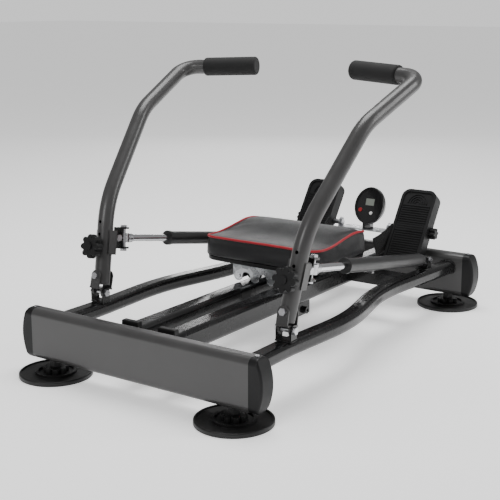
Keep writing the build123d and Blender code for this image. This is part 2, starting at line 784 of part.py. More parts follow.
# Cylinder with its flattened front end and eye, and the gland that closes its rear end
with BuildPart() as cylinder:
    shell = side_of(cylinder_frame, -cylinder_eye_width / 2)
    with BuildSketch(shell):
        Circle(cylinder_eye_radius)
        with Locations((0, (cylinder_neck_start + cylinder_floor) / 2)):
            Rectangle(2 * cylinder_neck_radius, cylinder_neck_start + cylinder_floor)
    extrude(amount=cylinder_eye_width)
    with BuildSketch(Plane(origin=swivel_point, x_dir=pin_dir, z_dir=pin_dir.cross(rod_dir))) as half:
        with BuildLine():
            Polyline((0, cylinder_neck_start), (cylinder_neck_radius, cylinder_neck_start),
                     (cylinder_radius, cylinder_start), (cylinder_radius, cylinder_end),
                     (cylinder_radius - cylinder_wall, cylinder_end),
                     (cylinder_radius - cylinder_wall, cylinder_start + cylinder_floor),
                     (0, cylinder_start + cylinder_floor), close=True)
        make_face()
    revolve(axis=Axis(swivel_point, rod_dir))
    disc(side_of(cylinder_frame, -cylinder_eye_width), bolt_radius + running_fit, 2 * cylinder_eye_width,
         Mode.SUBTRACT)
    disc(cylinder_frame.offset(cylinder_end - gland_depth), cylinder_radius - cylinder_wall - running_fit,
         gland_depth + seam)
    disc(cylinder_frame.offset(cylinder_end + seam), gland_radius, gland_cap)
    disc(cylinder_frame.offset(cylinder_end - 2 * gland_depth), rod_radius + running_fit,
         2 * gland_depth + 2 * gland_cap, Mode.SUBTRACT)
save_pair(cylinder, "cylinder")

# Front swivel and its pin
with BuildPart() as swivel:
    base_drop = swivel_rise - swivel_plate_thickness - play
    block(top_of(swivel_frame, z=-base_drop), cylinder_eye_width + 2 * play + 2 * swivel_ear_thickness,
          swivel_base_length, swivel_base_thickness)
    fork_inner = cylinder_eye_width / 2 + play
    for x in (fork_inner, -fork_inner - swivel_ear_thickness):
        ear(swivel_frame, x, swivel_ear_radius, swivel_ear_thickness, base_drop)
    disc(side_of(swivel_frame, -2 * fork_inner), bolt_radius + running_fit, 4 * fork_inner, Mode.SUBTRACT)
    disc(top_of(swivel_frame, z=-2 * base_drop), bolt_radius + running_fit, base_drop + 2 * swivel_base_thickness,
         Mode.SUBTRACT)
save_pair(swivel, "swivel")

with BuildPart() as swivel_pin:
    fork_outer = fork_inner + swivel_ear_thickness + seam
    hex_bolt(side_of(swivel_frame, -fork_outer), 2 * fork_outer)
save_pair(swivel_pin, "swivel_pin")

# Seat: plan outline with drawn-in sides, a wavy crowned top and piping along its upper edge
cushion_bottom = pan_bottom + pan_thickness + play


def seat_solid(grow, bottom, height):
    """The seat's plan outline, grown or shrunk, as a tall block with rounded corners."""
    half = seat_width / 2 + grow
    ahead = seat_length / 2 + grow
    with BuildPart() as piece:
        with BuildSketch(at(0, seat_y, bottom)) as plan:
            with BuildLine():
                ThreePointArc((-half, -ahead), (0, -ahead - seat_bow), (half, -ahead))
                ThreePointArc((half, -ahead), (half - seat_draw_in, 0), (half, ahead))
                ThreePointArc((half, ahead), (0, ahead + seat_bow), (-half, ahead))
                ThreePointArc((-half, ahead), (-half + seat_draw_in, 0), (-half, -ahead))
            make_face()
            fillet(vertices(), seat_corner + grow)
        extrude(amount=height)
    return piece.part


def wave(lift):
    """Side profile of the seat's top, from the rear edge over the dish and the ridge to the front."""
    half = seat_length / 2 + overrun
    profile = Plane(origin=(0, seat_y, cushion_bottom), x_dir=(0, 1, 0), z_dir=(1, 0, 0))
    points = [(-half, cushion_rear_height + lift), (-half * dish_share, cushion_dish_height + lift),
              (half * ridge_share, cushion_ridge_height + lift), (half, cushion_front_height + lift)]
    with BuildSketch(profile) as side:
        with BuildLine():
            Spline(*points, tangents=[(1, -rear_fall_share), (1, -front_fall_share)])
            Polyline(points[-1], (half, -overrun), (-half, -overrun), points[0])
        make_face()
    return side.sketch


with BuildPart() as seat_pan:
    add(seat_solid(-pan_inset, pan_bottom, pan_thickness))
    fillet(seat_pan.faces().sort_by(Axis.Z)[0].edges(), pan_edge)
save(seat_pan, "seat_pan")

with BuildPart() as seat_piping:
    add(seat_solid(piping_width / 2, cushion_bottom, 2 * cushion_ridge_height))
    add(seat_solid(-piping_width / 2, cushion_bottom - overrun, 2 * cushion_ridge_height + 2 * overrun),
        mode=Mode.SUBTRACT)
    extrude(wave(0), amount=seat_width, both=True, mode=Mode.INTERSECT)
    extrude(wave(-piping_width), amount=seat_width, both=True, mode=Mode.SUBTRACT)
save(seat_piping, "seat_piping")

with BuildPart() as seat_cushion:
    add(seat_solid(0, cushion_bottom, 2 * cushion_ridge_height))
    extrude(wave(cushion_crown), amount=seat_width, both=True, mode=Mode.INTERSECT)
    with BuildSketch(Plane(origin=(0, seat_y, cushion_bottom), x_dir=(1, 0, 0), z_dir=(0, -1, 0))) as crown:
        with BuildLine():
            half = seat_width / 2 + overrun
            edge_height = cushion_ridge_height - cushion_crown
            ThreePointArc((-half, edge_height), (0, cushion_ridge_height + cushion_crown), (half, edge_height))
            Polyline((half, edge_height), (half, -overrun), (-half, -overrun), (-half, edge_height))
        make_face()
    extrude(crown.sketch, amount=seat_length, both=True, mode=Mode.INTERSECT)
    add(seat_solid(piping_width, cushion_bottom, 2 * cushion_ridge_height), mode=Mode.INTERSECT)
    add(seat_piping.part, mode=Mode.SUBTRACT)
save(seat_cushion, "seat_cushion")

# Carriage: folded sheet with scalloped end plates that hang over the two track tubes
lobe_x = [lobe_pitch * (number - (lobe_count - 1) / 2) for number in range(lobe_count)]
lobe_middle = lobe_bottom + lobe_radius
arch_radius = lobe_pitch / 2 - lobe_radius
with BuildPart() as seat_carriage:
    block(at(0, carriage_y, carriage_top - carriage_sheet), 2 * carriage_half_width, carriage_length, carriage_sheet)
    for y in (carriage_y - carriage_length / 2, carriage_y + carriage_length / 2 - carriage_sheet):
        with BuildSketch(Plane(origin=(0, y, 0), x_dir=(-1, 0, 0), z_dir=(0, 1, 0))) as plate:
            with Locations((0, (carriage_top + lobe_middle) / 2)):
                Rectangle(2 * carriage_half_width, carriage_top - lobe_middle)
            with Locations(*[(x, lobe_middle) for x in lobe_x]):
                Circle(lobe_radius)
            with Locations(*[(x + lobe_pitch / 2, lobe_middle) for x in lobe_x[:-1]]):
                Circle(arch_radius, mode=Mode.SUBTRACT)
        extrude(plate.sketch, amount=carriage_sheet)
    for side in (-1, 1):
        for offset_x in (-1, 1):
            rib_x = side * track_x + offset_x * (roller_width / 2 + play + carriage_sheet / 2)
            block(at(rib_x, carriage_y, rib_bottom), carriage_sheet, carriage_length - carriage_sheet,
                  carriage_top - carriage_sheet / 2 - rib_bottom)
    rear_hubs = Plane(origin=(0, carriage_y - carriage_length / 2, lobe_middle), x_dir=(1, 0, 0), z_dir=(0, -1, 0))
    with BuildSketch(rear_hubs) as hubs:
        with Locations(*[(x, 0) for x in lobe_x]):
            Circle(lobe_hub_radius)
    extrude(hubs.sketch, amount=lobe_rim)
    axle_z = track_top + roller_radius + play
    for y in (carriage_y - roller_spacing / 2, carriage_y + roller_spacing / 2):
        disc(Plane(origin=(-carriage_half_width, y, axle_z), z_dir=(1, 0, 0)), axle_radius + running_fit,
             2 * carriage_half_width, Mode.SUBTRACT)
save(seat_carriage, "seat_carriage")

axle_half = track_x + roller_width / 2 + play + carriage_sheet + axle_overhang
with BuildPart() as roller_axles:
    for y in (carriage_y - roller_spacing / 2, carriage_y + roller_spacing / 2):
        disc(Plane(origin=(-axle_half, y, axle_z), z_dir=(1, 0, 0)), axle_radius, 2 * axle_half)
save(roller_axles, "roller_axles")


def rollers(y):
    """The two rollers on one axle."""
    with BuildPart() as pair:
        for x in (-track_x, track_x):
            start = Plane(origin=(x - roller_width / 2, y, axle_z), z_dir=(1, 0, 0))
            disc(start, roller_radius, roller_width)
            fillet(pair.edges().filter_by(GeomType.CIRCLE).group_by(SortBy.RADIUS)[-1], roller_groove)
            disc(start.offset(-overrun), axle_radius + running_fit, roller_width + 2 * overrun, Mode.SUBTRACT)
    return pair


save(rollers(carriage_y - roller_spacing / 2), "rear_rollers")
save(rollers(carriage_y + roller_spacing / 2), "front_rollers")

# Rubber stops on the track, where the carriage comes to rest
with BuildPart() as seat_stops:
    rear_stop = carriage_y - carriage_length / 2 - seat_travel_back - lobe_rim - play - stop_length / 2
    front_stop = carriage_y + carriage_length / 2 + seat_travel_front + play + stop_length / 2
    for x in (-track_x, track_x):
        for y in (rear_stop, front_stop):
            block(at(x, y, track_top), stop_width, stop_length, stop_height)
    fillet(seat_stops.faces().filter_by(Axis.Z).group_by(Axis.Z)[-1].edges(), rim_round)
save(seat_stops, "seat_stops")

# Footplates, hinged on stub axles
slope = radians(plate_slope)
plate_x = plate_inner_x + plate_width / 2
plate_frame = Plane(origin=(plate_x, plate_y, plate_z), x_dir=(1, 0, 0), z_dir=(0, -sin(slope), cos(slope)))
print("footplate pivot", plate_frame.origin)


def plate_outline(shrink):
    """Outline of a footplate, shrunk all round, in the open sketch."""
    with Locations((0, (plate_above - plate_below) / 2)):
        Rectangle(plate_width - 2 * shrink, plate_above + plate_below - 2 * shrink)
    fillet(vertices().group_by(Axis.Y)[-1], plate_top_corner - shrink)
    fillet(vertices().group_by(Axis.Y)[0], plate_bottom_corner - shrink / 2)


with BuildPart() as footplate:
    with BuildSketch(top_of(plate_frame, z=plate_face - plate_depth)):
        plate_outline(0)
    extrude(amount=plate_depth)
    with BuildSketch(top_of(plate_frame, z=plate_face - plate_depth)):
        plate_outline(plate_wall)
    extrude(amount=plate_depth - plate_skin, mode=Mode.SUBTRACT)
    with BuildSketch(top_of(plate_frame, z=plate_face - plate_recess)):
        plate_outline(plate_border)
    extrude(amount=plate_recess, mode=Mode.SUBTRACT)
    tread_half = plate_width / 2 - plate_border
    arc_centre = plate_above - tread_arc_drop
    tread_count = int((arc_centre + plate_below - plate_border - tread_pitch) // tread_pitch)
    with BuildSketch(top_of(plate_frame, z=plate_face - plate_recess)) as tread:
        with Locations((0, arc_centre)):
            for number in range(tread_arc_count, 0, -1):
                Circle(number * tread_pitch + tread_width / 2)
                Circle(number * tread_pitch - tread_width / 2, mode=Mode.SUBTRACT)
        with Locations((0, arc_centre - plate_above / 2)):
            Rectangle(plate_width, plate_above, mode=Mode.SUBTRACT)
        for number in range(tread_count):
            with Locations((0, arc_centre - (number + 1) * tread_pitch)):
                Rectangle(2 * tread_half - tread_pitch, tread_width)
    extrude(tread.sketch, amount=tread_height)
    block(side_of(plate_frame, x=-plate_width / 2 + plate_wall / 2, z=plate_face / 2), 2 * hub_half,
          plate_face - plate_skin / 2, plate_width - plate_wall)
    disc(side_of(plate_frame, x=-plate_width / 2 + plate_wall / 2), hub_half, plate_width - plate_wall)
    disc(side_of(plate_frame, x=-plate_width), stub_radius + running_fit, 2 * plate_width, Mode.SUBTRACT)
save_pair(footplate, "footplate")

# Strap that stands free of the footplate's inner side
strap_side = Plane(origin=plate_frame.from_local_coords((-plate_width / 2, 0, 0)), x_dir=plate_frame.x_dir,
                   z_dir=plate_frame.z_dir)
droop = radians(strap_droop)
strap_run = strap_side.z_dir * cos(droop) - strap_side.y_dir * sin(droop)
strap_root_point = strap_side.from_local_coords((-seam, -strap_centre, plate_face - strap_root))
strap_plane = Plane(origin=strap_root_point, x_dir=strap_run, z_dir=strap_run.cross(plate_frame.x_dir))
with BuildPart() as strap:
    with BuildSketch(strap_plane.offset(-strap_width / 2)):
        with BuildLine():
            bow = ThreePointArc((0, 0), (strap_reach / 2, -strap_flare / 4), (strap_reach, -strap_flare))
            offset(bow, amount=strap_thickness, side=Side.RIGHT)
        make_face()
    extrude(amount=strap_width)
save_pair(strap, "footplate_strap")

# Stub axles of the footplates, in the legs of the stand, and the knobs on their ends
stand_face = track_flank + stand_sheet
stub_start = track_flank - stub_head_height - seam
stub_end = plate_inner_x + plate_width + wing_knob_length / 2
with BuildPart() as plate_axles:
    stub = Plane(origin=(stub_start, plate_y, plate_z), x_dir=(0, 1, 0), z_dir=(1, 0, 0))
    hexagon(stub, stub_head_radius, stub_head_height)
    disc(stub, stub_radius, stub_end - stub_start)
    mirror(about=Plane.YZ)
save(plate_axles, "plate_axles")

with BuildPart() as plate_knob:
    knob_base = Plane(origin=(plate_inner_x + plate_width + play, plate_y, plate_z), x_dir=(0, 1, 0), z_dir=(1, 0, 0))
    with BuildSketch(knob_base) as outline:
        star(wing_knob_radius, wing_knob_lobes)
    extrude(outline.sketch, amount=wing_knob_length)
    fillet(plate_knob.faces().sort_by(Axis.X)[-1].edges(), rim_round)
    disc(knob_base.offset(-overrun), stub_radius + running_fit, wing_knob_length / 2 + overrun, Mode.SUBTRACT)
save_pair(plate_knob, "footplate_knob")

# Stand: two legs on the flanks of the track, and the slotted shelf between them
foot_length = bar_face - seam - stand_rear_y
with BuildPart() as display_stand:
    for x in (track_flank, -stand_face):
        with BuildSketch(Plane(origin=(x, plate_y, plate_z), x_dir=(0, 1, 0), z_dir=(1, 0, 0))):
            Circle(stand_head_radius)
            with Locations(((stand_rear_y + foot_length / 2) - plate_y, (stand_bottom - plate_z) / 2)):
                Rectangle(foot_length, plate_z - stand_bottom)
            with Locations(((stand_rear_y + stand_front_y) / 2 - plate_y, (bar_top + play + shelf_top) / 2 - plate_z)):
                Rectangle(stand_front_y - stand_rear_y, shelf_top - bar_top - play)
        extrude(amount=stand_sheet)
    shelf = at(0, stand_front_y - shelf_length / 2, shelf_top - shelf_sheet)
    block(shelf, 2 * stand_face, shelf_length, shelf_sheet)
    with BuildSketch(at(0, stand_front_y - shelf_length + slot_inset, shelf_top - shelf_sheet - overrun)):
        with GridLocations(slot_pitch, slot_pitch, slot_count, 1):
            SlotOverall(slot_length, slot_width)
    extrude(amount=shelf_sheet + 2 * overrun, mode=Mode.SUBTRACT)
    disc(Plane(origin=(-stand_face - overrun, plate_y, plate_z), z_dir=(1, 0, 0)), stub_radius + running_fit,
         2 * (stand_face + overrun), Mode.SUBTRACT)
save(display_stand, "display_stand")

# Display: domed back shell with its neck, front shell, screen and two buttons
tilt = radians(display_tilt)
display_frame = Plane(origin=(0, display_y, display_z), x_dir=(1, 0, 0), z_dir=(0, -cos(tilt), sin(tilt)))
print("display axis", display_frame.z_dir)
back_half = (display_half_width * display_back_share, display_half_height * display_back_share)
bulge_share = (1 + display_back_share) / 2 + display_bulge_share
with BuildPart() as display_back:
    with BuildSketch(display_frame):
        Ellipse(display_half_width, display_half_height)
    with BuildSketch(display_frame.offset(-display_back_depth / 2)):
        Ellipse(display_half_width * bulge_share, display_half_height * bulge_share)
    with BuildSketch(display_frame.offset(-display_back_depth)):
        Ellipse(*back_half)
    loft()
    neck_y = stand_front_y - shelf_length / 2
    block(at(0, neck_y, shelf_top), neck_width, neck_length, display_z - display_half_height / 2 - shelf_top)
    with BuildSketch(display_frame):
        Ellipse(display_half_width, display_half_height)
    extrude(amount=3 * display_front_depth, mode=Mode.SUBTRACT)
    with BuildSketch(display_frame):
        Ellipse(display_half_width - display_rim, display_half_height - display_rim)
    extrude(amount=-display_back_depth / 2, mode=Mode.SUBTRACT)
save(display_back, "display_back")

reset_place = (reset_x, -reset_drop)
mode_place = (-mode_x, -mode_drop)
with BuildPart() as display_front:
    with BuildSketch(display_frame):
        Ellipse(display_half_width, display_half_height)
    extrude(amount=display_front_depth)
    fillet(display_front.faces().sort_by(Axis(display_frame.origin, display_frame.z_dir))[-1].edges(), display_edge)
    with BuildSketch(display_frame.offset(display_front_depth - display_recess)):
        Ellipse(display_half_width - display_rim, display_half_height - display_rim)
    extrude(amount=display_recess, mode=Mode.SUBTRACT)
    with BuildSketch(display_frame):
        Ellipse(display_half_width - display_rim, display_half_height - display_rim)
    extrude(amount=display_front_depth - display_recess - display_wall, mode=Mode.SUBTRACT)
    with BuildSketch(display_frame.offset(display_front_depth - display_recess - screen_thickness)):
        with Locations((0, screen_rise)):
            Rectangle(screen_width + seam, screen_height + seam)
    extrude(amount=display_recess, mode=Mode.SUBTRACT)
    with BuildSketch(display_frame):
        with Locations(reset_place):
            Circle(reset_radius + play)
        with Locations(mode_place):
            Circle(mode_radius + play)
    extrude(amount=display_front_depth, mode=Mode.SUBTRACT)
save(display_front, "display_front")

screen_floor = display_front_depth - display_recess - screen_thickness
with BuildPart() as display_screen:
    with BuildSketch(display_frame.offset(screen_floor + seam)):
        with Locations((0, screen_rise)):
            Rectangle(screen_width - seam, screen_height - seam)
    extrude(amount=screen_thickness)
save(display_screen, "display_screen")


def button(place, radius):
    """Round button with a collar behind the front shell, which keeps it in its hole."""
    wall_back = display_front_depth - display_recess - display_wall
    with BuildPart() as cap:
        disc(top_of(display_frame, place[0], place[1], wall_back - play), radius, display_wall + button_proud)
        fillet(cap.faces().sort_by(Axis(display_frame.origin, display_frame.z_dir))[-1].edges(), button_edge)
        disc(top_of(display_frame, place[0], place[1], wall_back - play), radius + button_collar, -button_collar)
    return cap


save(button(reset_place, reset_radius), "reset_button")
save(button(mode_place, mode_radius), "mode_button")
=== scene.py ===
"""Looks of a hydraulic rowing machine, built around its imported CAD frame."""

import json
import logging
import math
from dataclasses import dataclass, field
from enum import Enum
from typing import Any, Dict, Iterable, List, Sequence, Tuple

import bmesh
import bpy
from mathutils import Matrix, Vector
from mathutils.bvhtree import BVHTree

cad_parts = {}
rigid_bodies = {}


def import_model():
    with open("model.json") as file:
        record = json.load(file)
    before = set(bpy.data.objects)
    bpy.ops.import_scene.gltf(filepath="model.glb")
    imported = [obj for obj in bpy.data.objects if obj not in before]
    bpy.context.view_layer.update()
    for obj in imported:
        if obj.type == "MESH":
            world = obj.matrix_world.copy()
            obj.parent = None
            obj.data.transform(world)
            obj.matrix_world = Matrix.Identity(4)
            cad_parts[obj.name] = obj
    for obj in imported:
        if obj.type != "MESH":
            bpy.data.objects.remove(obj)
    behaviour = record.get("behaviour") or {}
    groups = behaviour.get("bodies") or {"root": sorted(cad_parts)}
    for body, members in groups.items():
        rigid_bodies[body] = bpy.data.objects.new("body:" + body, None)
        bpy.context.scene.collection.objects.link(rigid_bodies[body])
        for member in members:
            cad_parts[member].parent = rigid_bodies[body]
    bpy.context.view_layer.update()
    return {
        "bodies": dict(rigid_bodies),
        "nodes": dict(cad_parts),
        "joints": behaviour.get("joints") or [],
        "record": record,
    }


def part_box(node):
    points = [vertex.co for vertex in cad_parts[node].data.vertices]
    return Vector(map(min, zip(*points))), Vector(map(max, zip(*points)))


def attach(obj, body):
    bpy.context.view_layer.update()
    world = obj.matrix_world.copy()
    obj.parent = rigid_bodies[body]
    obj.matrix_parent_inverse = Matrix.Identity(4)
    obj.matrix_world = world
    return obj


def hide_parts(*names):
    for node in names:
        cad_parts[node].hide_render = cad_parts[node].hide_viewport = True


Colour = Tuple[float, float, float]
Point = Tuple[float, float, float]
Pair = Tuple[float, float]
Edge = Tuple[int, int]

SIDES = (("left", -1.0), ("right", 1.0))
UP = Vector((0.0, 0.0, 1.0))
PLATE_SLOPE = math.radians(55.4)
MIX_DARK, MIX_LIGHT, MIX_RESULT = 6, 7, 2  # colour sockets of the Mix node
LOG = logging.getLogger("rowing_machine")


class Texture(Enum):
    """Surface texture of a finish."""

    POWDER = "powder coat"
    PAINT = "gloss paint"
    MOULDED = "moulded plastic"
    POLISHED = "polished"
    RUBBER = "rubber"
    FOAM = "foam"
    HIDE = "grained vinyl"
    WOVEN = "webbing"
    ZINC = "galvanised sheet"
    TURNED = "turned steel"


@dataclass(frozen=True)
class Finish:
    """One finish of the machine: its colours, its range of roughness and its texture."""

    slot: str
    texture: Texture
    dark: Colour
    light: Colour
    rough: Pair
    grain_size: float
    grain_depth: float
    metallic: float = 0.0
    coat: float = 0.0
    coat_rough: float = 0.1
    sheen: float = 0.0
    specular: float = 0.5


def finishes() -> List[Finish]:
    """Lists the machine's finishes.

    Returns:
        Every finish, one for each slot of the record.
    """
    return [
        Finish(
            "charcoal_paint", Texture.POWDER, (0.040, 0.039, 0.039), (0.054, 0.053, 0.053),
            rough=(0.30, 0.40), grain_size=900.0, grain_depth=0.05,
            coat=0.2, coat_rough=0.2, specular=0.4),
        Finish(
            "black_paint", Texture.PAINT, (0.0035, 0.0035, 0.0036), (0.0075, 0.0075, 0.0078),
            rough=(0.20, 0.32), grain_size=300.0, grain_depth=0.012,
            coat=0.3, coat_rough=0.1, specular=0.3),
        Finish(
            "cylinder_paint", Texture.PAINT, (0.012, 0.012, 0.0125), (0.019, 0.019, 0.0195),
            rough=(0.30, 0.42), grain_size=500.0, grain_depth=0.02,
            coat=0.12, coat_rough=0.18, specular=0.35),
        Finish(
            "black_plastic", Texture.MOULDED, (0.0055, 0.0055, 0.0058), (0.0105, 0.0105, 0.011),
            rough=(0.36, 0.50), grain_size=1200.0, grain_depth=0.12, specular=0.22),
        Finish(
            "display_plastic", Texture.POLISHED, (0.004, 0.004, 0.0045), (0.006, 0.006, 0.0065),
            rough=(0.08, 0.14), grain_size=60.0, grain_depth=0.01, coat=0.8, coat_rough=0.04),
        Finish(
            "white_plastic", Texture.MOULDED, (0.74, 0.74, 0.72), (0.82, 0.82, 0.80),
            rough=(0.3, 0.4), grain_size=900.0, grain_depth=0.03),
        Finish(
            "red_plastic", Texture.MOULDED, (0.30, 0.008, 0.012), (0.38, 0.012, 0.016),
            rough=(0.28, 0.38), grain_size=900.0, grain_depth=0.03),
        Finish(
            "screen", Texture.POLISHED, (0.16, 0.18, 0.16), (0.22, 0.24, 0.21),
            rough=(0.12, 0.18), grain_size=90.0, grain_depth=0.01, coat=0.5, coat_rough=0.05),
        Finish(
            "rubber", Texture.RUBBER, (0.0035, 0.0035, 0.0035), (0.0075, 0.0075, 0.0075),
            rough=(0.38, 0.55), grain_size=700.0, grain_depth=0.10, specular=0.4),
        Finish(
            "foam", Texture.FOAM, (0.008, 0.008, 0.008), (0.016, 0.016, 0.016),
            rough=(0.72, 0.88), grain_size=700.0, grain_depth=0.45, sheen=0.08, specular=0.3),
        Finish(
            "roller_nylon", Texture.MOULDED, (0.012, 0.012, 0.012), (0.022, 0.022, 0.022),
            rough=(0.4, 0.5), grain_size=900.0, grain_depth=0.05),
        Finish(
            "seat_vinyl", Texture.HIDE, (0.010, 0.010, 0.011), (0.018, 0.018, 0.019),
            rough=(0.36, 0.48), grain_size=420.0, grain_depth=0.22, specular=0.28),
        Finish(
            "red_piping", Texture.HIDE, (0.32, 0.012, 0.020), (0.42, 0.018, 0.030),
            rough=(0.40, 0.52), grain_size=800.0, grain_depth=0.10, specular=0.35),
        Finish(
            "zinc", Texture.ZINC, (0.30, 0.31, 0.32), (0.66, 0.67, 0.69),
            rough=(0.20, 0.42), grain_size=60.0, grain_depth=0.04, metallic=1.0),
        Finish(
            "rod_chrome", Texture.TURNED, (0.70, 0.70, 0.72), (0.80, 0.80, 0.82),
            rough=(0.08, 0.16), grain_size=400.0, grain_depth=0.01, metallic=1.0),
        Finish(
            "bolt_steel", Texture.TURNED, (0.50, 0.50, 0.52), (0.68, 0.68, 0.70),
            rough=(0.22, 0.34), grain_size=300.0, grain_depth=0.03, metallic=1.0),
        # For webbing, dark is the painted shade of the weave's grooves and light the painted
        # highlight on its ribs.
        Finish(
            "webbing", Texture.WOVEN, (0.006, 0.006, 0.006), (0.016, 0.016, 0.016),
            rough=(0.7, 0.9), grain_size=1.0, grain_depth=0.6, sheen=0.1, specular=0.3),
    ]


@dataclass
class ShaderEffects:
    """Shader node groups that several finishes share."""

    groups: Dict[str, Any] = field(default_factory=dict)
    crease_width: float = 0.16
    thread_share: float = 0.4

    def start(
        self, name: str, inputs: Sequence[Tuple[str, float]], outputs: Sequence[str]
    ) -> Any:
        """Opens a group with a place, float inputs and float outputs.

        Args:
            name: name of the group.
            inputs: names and first values of its inputs.
            outputs: names of its outputs.

        Returns:
            The new node group, with its input and output nodes in place.
        """
        group = bpy.data.node_groups.new(name, "ShaderNodeTree")
        sockets = group.interface
        sockets.new_socket("Place", in_out="INPUT", socket_type="NodeSocketVector")
        for label, value in inputs:
            socket = sockets.new_socket(label, in_out="INPUT", socket_type="NodeSocketFloat")
            socket.default_value = value
        for label in outputs:
            sockets.new_socket(label, in_out="OUTPUT", socket_type="NodeSocketFloat")
        group.nodes.new("NodeGroupInput").name = "In"
        group.nodes.new("NodeGroupOutput").name = "Out"
        self.groups[name] = group
        return group

    def grain(self) -> None:
        """Makes fine grain: a height, and a slow cloud that varies gloss and colour."""
        inputs = [("Size", 500.0), ("Cloud Size", 14.0)]
        group = self.start("Grain", inputs, ["Height", "Cloud"])
        nodes, links = group.nodes, group.links
        fine = nodes.new("ShaderNodeTexNoise")
        fine.inputs["Detail"].default_value = 3.0
        cloud = nodes.new("ShaderNodeTexNoise")
        cloud.inputs["Detail"].default_value = 4.0
        cloud.inputs["Roughness"].default_value = 0.6
        for noise, size, result in ((fine, "Size", "Height"), (cloud, "Cloud Size", "Cloud")):
            links.new(nodes["In"].outputs["Place"], noise.inputs["Vector"])
            links.new(nodes["In"].outputs[size], noise.inputs["Scale"])
            links.new(noise.outputs["Fac"], nodes["Out"].inputs[result])

    def hide(self) -> None:
        """Makes leather grain: pebbles between fine creases."""
        group = self.start("Hide", [("Size", 400.0)], ["Height"])
        nodes, links = group.nodes, group.links
        cells = nodes.new("ShaderNodeTexVoronoi")
        cells.feature = "DISTANCE_TO_EDGE"
        ramp = nodes.new("ShaderNodeMapRange")
        ramp.inputs["From Max"].default_value = self.crease_width
        links.new(nodes["In"].outputs["Place"], cells.inputs["Vector"])
        links.new(nodes["In"].outputs["Size"], cells.inputs["Scale"])
        links.new(cells.outputs["Distance"], ramp.inputs["Value"])
        links.new(ramp.outputs["Result"], nodes["Out"].inputs["Height"])

    def weave(self) -> None:
        """Makes ribs of webbing and weaker threads across them, for a piece's UV map."""
        group = self.start("Weave", [("Ribs", 34.0), ("Threads", 60.0)], ["Height"])
        nodes, links = group.nodes, group.links
        split = nodes.new("ShaderNodeSeparateXYZ")
        links.new(nodes["In"].outputs["Place"], split.inputs[0])
        waves = []
        for axis, label in (("X", "Ribs"), ("Y", "Threads")):
            times = nodes.new("ShaderNodeMath")
            times.operation = "MULTIPLY"
            turn = nodes.new("ShaderNodeMath")
            turn.operation = "MULTIPLY"
            turn.inputs[1].default_value = 2 * math.pi
            wave = nodes.new("ShaderNodeMath")
            wave.operation = "SINE"
            links.new(split.outputs[axis], times.inputs[0])
            links.new(nodes["In"].outputs[label], times.inputs[1])
            links.new(times.outputs[0], turn.inputs[0])
            links.new(turn.outputs[0], wave.inputs[0])
            waves.append(wave)
        ribs, threads = waves
        mix = nodes.new("ShaderNodeMath")
        mix.operation = "MULTIPLY_ADD"
        mix.inputs[1].default_value = self.thread_share
        links.new(threads.outputs[0], mix.inputs[0])
        links.new(ribs.outputs[0], mix.inputs[2])
        links.new(mix.outputs[0], nodes["Out"].inputs["Height"])

    def spangle(self) -> None:
        """Makes the crystal flakes of galvanised zinc."""
        group = self.start("Spangle", [("Size", 60.0)], ["Flake"])
        nodes, links = group.nodes, group.links
        cells = nodes.new("ShaderNodeTexVoronoi")
        cells.inputs["Randomness"].default_value = 1.0
        split = nodes.new("ShaderNodeSeparateColor")
        links.new(nodes["In"].outputs["Place"], cells.inputs["Vector"])
        links.new(nodes["In"].outputs["Size"], cells.inputs["Scale"])
        links.new(cells.outputs["Color"], split.inputs[0])
        links.new(split.outputs[0], nodes["Out"].inputs["Flake"])

    def build(self) -> None:
        """Makes every group once."""
        for make in (self.grain, self.hide, self.weave, self.spangle):
            make()


